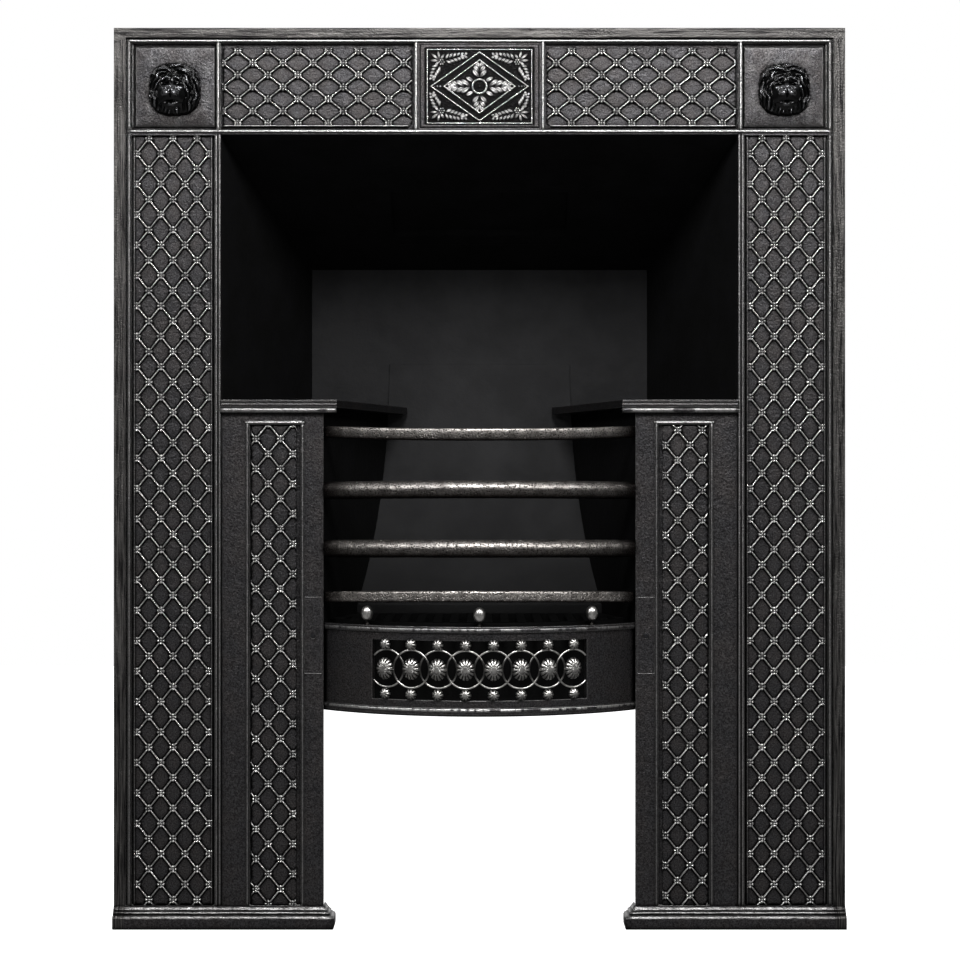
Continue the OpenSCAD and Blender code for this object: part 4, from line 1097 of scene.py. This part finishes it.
# %% Bars
ARC_R = 235.4
ARC_DEPTH = 175.4
BASKET_HALF = 167.2
CHEEK_SLOPE = 62 / 239
CHEEK_FROM, CHEEK_TO = 8, 28
TENON_FROM, TENON_TO, TENON_DEPTH, TENON_R = 159.5, 173.5, 12, 4
BAR_R = 9.4
SPAN_HALF = 170


def on_arc(angle, out, across, up):
    """Points at an angle round the arc, some way out from it, and off to the side and up from there."""
    radius = ARC_R + out
    x = radius * np.sin(angle) + across * np.cos(angle)
    depth = ARC_DEPTH - radius * np.cos(angle) + across * np.sin(angle)
    return place(x, depth, up)


def end_angle(out):
    """How far round the arc a line this far out from it runs before it meets the cheek."""
    radius = ARC_R + out
    meets_at = ARC_DEPTH - np.sqrt(radius ** 2 - BASKET_HALF ** 2)
    end_x = BASKET_HALF - CHEEK_SLOPE * np.clip(meets_at - CHEEK_FROM, 0, CHEEK_TO - CHEEK_FROM)
    return np.arcsin(end_x / radius)


def rod_across(from_x, to_x, depth, height, radius):
    """A closed round rod that lies across the object."""
    turn = full_turn(24)
    across = np.array([from_x, to_x], float)[:, None]
    points = place(across, depth + radius * np.cos(turn), height + radius * np.sin(turn))
    return close_ends(points, np.zeros((2, turn.size)))


def bar(name, height, bend, half_out, half_up, squareness, front_tone, hammered, phase):
    """A section (a superellipse, squarer as squareness grows) carried along the arc.
    It is bend mm higher in the middle than at its ends, give or take a drift from its hammering."""
    turn = full_turn(56)
    along = np.linspace(-1, 1, 361)[:, None]
    cosine, sine = np.cos(turn), np.sin(turn)
    out = half_out * np.sign(cosine) * np.abs(cosine) ** (2 / squareness)
    up = half_up * np.sign(sine) * np.abs(sine) ** (2 / squareness)
    across = along * SPAN_HALF
    uneven = 1 + 0.022 * ripple(across, turn * 9, 34, phase) + hammered * ripple(across, turn * 9, 9)
    out = np.minimum(out * uneven, half_out)
    middle = height + bend * (0.5 - along ** 2)
    points = on_arc(along * end_angle(out), out, 0, middle + np.clip(up * uneven, -half_up, half_up))
    # Tone: front_tone on the front face, a painted highlight over the upper side, painted shade on the
    # underside, and painted shade towards the ends, where they run in behind the hob fronts.
    wear_and_painted_light = front_tone + (1 - front_tone) * smooth_step(up / half_up, -0.15, 0.45)
    wear_and_painted_light = wear_and_painted_light * smooth_step(up / half_up, -0.9, -0.3) * (0.8 + 0.4 * ripple(across, up, 15, phase))
    tone = wear_and_painted_light * (1 - smooth_step(np.abs(along), 0.76, 1.0))
    tenons = [rod_across(side * TENON_FROM, side * TENON_TO, TENON_DEPTH, height, TENON_R)
              for side in SIDES.values()]
    return make_piece(name, close_ends(points, tone), *tenons)


print("the bars stand", round(ARC_R - ARC_DEPTH, 1), "mm in front of the frame at the middle")
BARS = {
    "top_bar": (530, -4.5, 4, 6.5, 4, 0.4, 0.012),
    "upper_round_bar": (469.5, 1.9, BAR_R, BAR_R, 2, 0.25, 0.018),
    "lower_round_bar": (407.5, 2.2, BAR_R, BAR_R, 2, 0.25, 0.026),
    "low_bar": (356.5, 4.5, 4, 6, 4, 0.95, 0.05),
}
for phase, (name, sizes) in enumerate(BARS.items()):
    settle("burnished_iron", bar(name + "_forged", *sizes, float(phase)), name)

# %% [markdown]
# ## The ash fret's ornament
# A row of wire rings, each overlapping its neighbour, fills the window of the fret. A fluted boss sits in
# every ring, a small one above and below each, and three egg finials stand on the top rail. All are placed by
# the distance they are round the arc, not straight across. Beads with a painted highlight on their crests
# edge the two rails.

# %% Fret ornament
RING_COUNT = 8
RING_PITCH = 28.9
RING_Z = 282.35
RING_MIDDLE_R = 19.8
WIRE_R = 1.0
BUTT_GAP = 0.002
LAYER_OUT = 1.1
WINDOW_HALF = 116.7
PANEL_FRONT = 2.5
LARGE_BOSS, LARGE_PETALS = (9.5, 11.5, 6.0), 14
SMALL_BOSS, SMALL_PETALS = (6, 6, 4.6), 9
SMALL_BOSS_Z = (255.8, 307.8)
PETALS_FROM, PETALS_FULL, PETAL_GROOVE = 0.48, 0.58, 0.26
PITS_AT, BOSS_PIT = 0.36, 0.12
RAIL_BEADS = ((323.5, 2.5, 0.35), (240, 2.2, 0.8))


def ring(from_middle, wire_out):
    """A wire bent to a circle with a hairline butt joint. It stops short of passing the window's end."""
    reach = (WINDOW_HALF - abs(from_middle)) / RING_MIDDLE_R
    gap = math.acos(reach) + 0.04 if reach < 1 else BUTT_GAP
    start = (0.0 if from_middle >= 0 else math.pi) + gap
    turn = np.linspace(start, start + 2 * math.pi - 2 * gap, 97)[:, None]
    round_wire = full_turn(14)
    radius = RING_MIDDLE_R + WIRE_R * np.cos(round_wire)
    points = on_arc(from_middle / ARC_R, wire_out + WIRE_R * np.sin(round_wire), radius * np.cos(turn),
                    RING_Z + radius * np.sin(turn))
    # Tone: a painted highlight on the wire's front and on the top and bottom of each ring, and painted shade
    # on its back and at the ring's sides.
    facing = smooth_step(np.sin(round_wire), -0.2, 0.7)
    return close_ends(points, facing * (0.2 + 0.8 * smooth_step(np.abs(np.sin(turn)), 0.3, 0.85)))


def boss(angle, seat, height, size, petals):
    """A dome whose outer half is cut into petals by grooves, with a ring of pits inside them."""
    half_w, half_h, rise = size
    share = np.concatenate([[1.0], np.linspace(0.985, 0.02, 30)])[:, None]
    turn = full_turn(petals * 12)
    slot = np.exp(-(np.cos(turn * petals / 2) / 0.42) ** 2)
    outside = smooth_step(share, PETALS_FROM, PETALS_FULL)
    dome = np.sqrt(np.clip(1 - share ** 2.2, 0, 1))
    pit = np.exp(-((share - PITS_AT) / 0.06) ** 2) * slot
    out = rise * np.clip(dome - PETAL_GROOVE * outside * slot - BOSS_PIT * pit, 0.0, 1.0)
    edge = 1 - 0.07 * outside * slot
    points = on_arc(angle, seat + out, half_w * share * edge * np.cos(turn),
                    height + half_h * share * edge * np.sin(turn))
    # Tone: a painted highlight on the upper half, painted shade on the lower half, and the grooves and pits
    # painted near black as shade.
    lit = 0.45 + 0.55 * smooth_step(share * np.sin(turn), -0.4, 0.1)
    return close_ends(points, lit * (1 - 1.5 * np.clip(outside * slot + 0.9 * pit, 0, 1)), True)


def arc_bead(height, half, crest):
    """A half-round bead along the front of the fret, from cheek to cheek: the crest tone is a painted
    highlight on its front, dimmer towards its ends, with painted shade down its flanks.
    """
    turn = np.linspace(0, math.pi, 13)[None, :]
    along = np.linspace(-1, 1, 181)[:, None]
    out = np.concatenate([half * np.sin(turn), [[-1.0, -1.0]]], axis=1)
    out = out * (1 + 0.03 * ripple(along * SPAN_HALF, 0, 25))
    up = np.concatenate([half * np.cos(turn), [[-half, half]]], axis=1)
    tone = crest * smooth_step(out, 0.6 * half, 0.95 * half)
    tone = tone * (1 - 0.4 * smooth_step(np.abs(along), 0.6, 1.0))
    out_from_arc = PANEL_FRONT + out
    points = on_arc(along * end_angle(out_from_arc), out_from_arc, 0, height + up)
    return close_ends(points, np.where(out > 0.4 * half, tone, -0.7))


rings, large_bosses, small_bosses = [], [], []
for k in range(RING_COUNT):
    from_middle = RING_PITCH * (k - (RING_COUNT - 1) / 2)
    in_front = k % 2 == 1
    rings.append(ring(from_middle, LAYER_OUT if in_front else -LAYER_OUT))
    angle = from_middle / ARC_R
    large_bosses.append(boss(angle, 0.9 if in_front else 3.1, RING_Z, LARGE_BOSS, LARGE_PETALS))
    small_bosses += [boss(angle, 2.5, height, SMALL_BOSS, SMALL_PETALS) for height in SMALL_BOSS_Z]
settle("blackleaded_iron", make_piece("fret_beads", *[arc_bead(*rail) for rail in RAIL_BEADS]))
settle("polished_steel", make_piece("wire_rings", *rings), "fret_rings")
settle("polished_steel", make_piece("fluted_bosses", *large_bosses), "fret_bosses_large")
settle("polished_steel", make_piece("small_fluted_bosses", *small_bosses), "fret_bosses_small")

# %% [markdown]
# A finial is turned on a lathe: a collar that tapers to a stem, and an egg on top of it.
# Its outline is a list of radii and heights, spun round.

# %% Finials
FRET_TOP = 327
FINIAL_X = (-119, 0, 119)
COLLAR_R, COLLAR_Z = (1.9, 1.9, 3.2, 3.1, 2.2, 2.0), (-5, 0, 0.01, 0.6, 2.0, 3.6)
EGG_R, EGG_HALF_H, EGG_Z = 6.4, 8.2, 12.45


def finial(at_x):
    """A turned body: collar, stem and egg, as radius against height, spun round an upright axis."""
    egg = np.linspace(0.12, math.pi - 0.02, 40)
    egg = egg[egg > 0.32]
    radius = np.concatenate([COLLAR_R, EGG_R * np.sin(egg)])[:, None]
    height = np.concatenate([COLLAR_Z, EGG_Z - EGG_HALF_H * np.cos(egg)])[:, None]
    turn = full_turn(40)
    points = on_arc(math.asin(at_x / ARC_R), radius * np.cos(turn), radius * np.sin(turn), FRET_TOP + height)
    # Tone: the egg keeps the steel's pale colour, and the collar and stem under it are painted near black as
    # shade.
    return close_ends(points, smooth_step(height, 4.2, 7.0) * np.ones_like(turn), True)


settle("polished_steel", make_piece("egg_finials", *[finial(x) for x in FINIAL_X]), "fret_finials")

# %% [markdown]
# ## The photographer's sweep
# The grate stands on a white paper sweep. The floor is white paper that glows a little, so it
# reads as pure white and still takes the soft shadow under the plinths.

# %% Floor
FLOOR_HALF = 3.0


def paper():
    """White paper with some light of its own for the camera; polished iron sees it dimmed."""
    material, tree = new_material("white_paper_sweep")
    path = add(tree, "ShaderNodeLightPath").outputs
    shade = mix(tree, path["Is Glossy Ray"], "#ffffff", "#808080")
    sheet = add(tree, "ShaderNodeBsdfDiffuse", {"Color": shade})
    glow = add(tree, "ShaderNodeEmission", {"Color": linear("#ffffff"), "Strength": path["Is Camera Ray"]})
    glowing = add(tree, "ShaderNodeAddShader", {0: sheet.outputs["BSDF"], 1: glow.outputs["Emission"]})
    return show(material, glowing.outputs["Shader"])


def floor():
    """A flat square of paper under the object."""
    mesh = bpy.data.meshes.new("paper_floor")
    corners = [(-FLOOR_HALF, -FLOOR_HALF, 0), (FLOOR_HALF, -FLOOR_HALF, 0),
               (FLOOR_HALF, FLOOR_HALF, 0), (-FLOOR_HALF, FLOOR_HALF, 0)]
    mesh.from_pydata(corners, [], [(0, 1, 2, 3)])
    mesh.materials.append(paper())
    sheet = bpy.data.objects.new("paper_floor", mesh)
    bpy.context.scene.collection.objects.link(sheet)


floor()
print("floor laid")

# %% [markdown]
# ## Light
# The photograph is lit from above the camera, with a dark studio round it: tops of ribs and
# bars shine, and what faces down is black. One lamp does most of that. The world is white to
# the camera, dim to everything else, and the metal sees white only behind the object.

# %% Light
def world():
    """White for the camera; for reflections white beyond the object and dim in front; dim grey as fill."""
    scene_world = bpy.data.worlds.new("studio")
    bpy.context.scene.world = scene_world
    scene_world.use_nodes = True
    tree = scene_world.node_tree
    tree.nodes.clear()
    path = add(tree, "ShaderNodeLightPath").outputs
    direction = add(tree, "ShaderNodeTexCoord").outputs["Generated"]
    rearward = add(tree, "ShaderNodeSeparateXYZ", {0: direction}).outputs["Y"]
    reflected = rescale(tree, rearward, 0.0, 0.35, 0.12, 1.0)
    fill = mix_numbers(tree, path["Is Glossy Ray"], 0.25, reflected)
    seen = reckon(tree, "MAXIMUM", path["Is Camera Ray"], path["Is Transmission Ray"])
    light = add(tree, "ShaderNodeBackground", {"Color": linear("#ffffff"),
                                               "Strength": mix_numbers(tree, seen, fill, 1.0)})
    add(tree, "ShaderNodeOutputWorld", {"Surface": light.outputs["Background"]})


def lamp(name, at, aim, size, watts):
    """A square area lamp that hangs at one point and faces another."""
    data = bpy.data.lights.new(name, "AREA")
    data.size = size
    data.energy = watts
    hung = bpy.data.objects.new(name, data)
    hung.location = at
    hung.rotation_euler = (Vector(aim) - Vector(at)).to_track_quat("-Z", "Y").to_euler()
    bpy.context.scene.collection.objects.link(hung)


world()
lamp("key", (0.1, -1.6, 2.0), (0.0, -0.05, 0.5), 0.6, 42)
for side_name, side in SIDES.items():
    lamp(side_name + "_fill", (side * 1.5, -1.5, 1.75), (0.0, -0.05, 0.45), 0.5, 16)

# %% [markdown]
# ## Camera
# The camera was found from the photograph: how fast the far parts shrink gives a distance of
# 2.2 m to the frame's front, and the height where edges stay level puts it 480 mm up. The lens
# puts one pixel on 1.072 mm of the frame's front.

# %% Camera
CAMERA_DISTANCE = 2.2
CAMERA_X, CAMERA_Z = 0.00054, 0.4803
LENS, SENSOR = 76.96, 36


def camera():
    """A level camera straight in front of the object."""
    data = bpy.data.cameras.new("camera")
    data.sensor_width = SENSOR
    data.lens = LENS
    eye = bpy.data.objects.new("camera", data)
    eye.location = (CAMERA_X, FRONT_Y - CAMERA_DISTANCE, CAMERA_Z)
    eye.rotation_euler = (math.pi / 2, 0, 0)
    bpy.context.scene.collection.objects.link(eye)
    bpy.context.scene.camera = eye
    bpy.context.scene.view_settings.view_transform = "Standard"


camera()
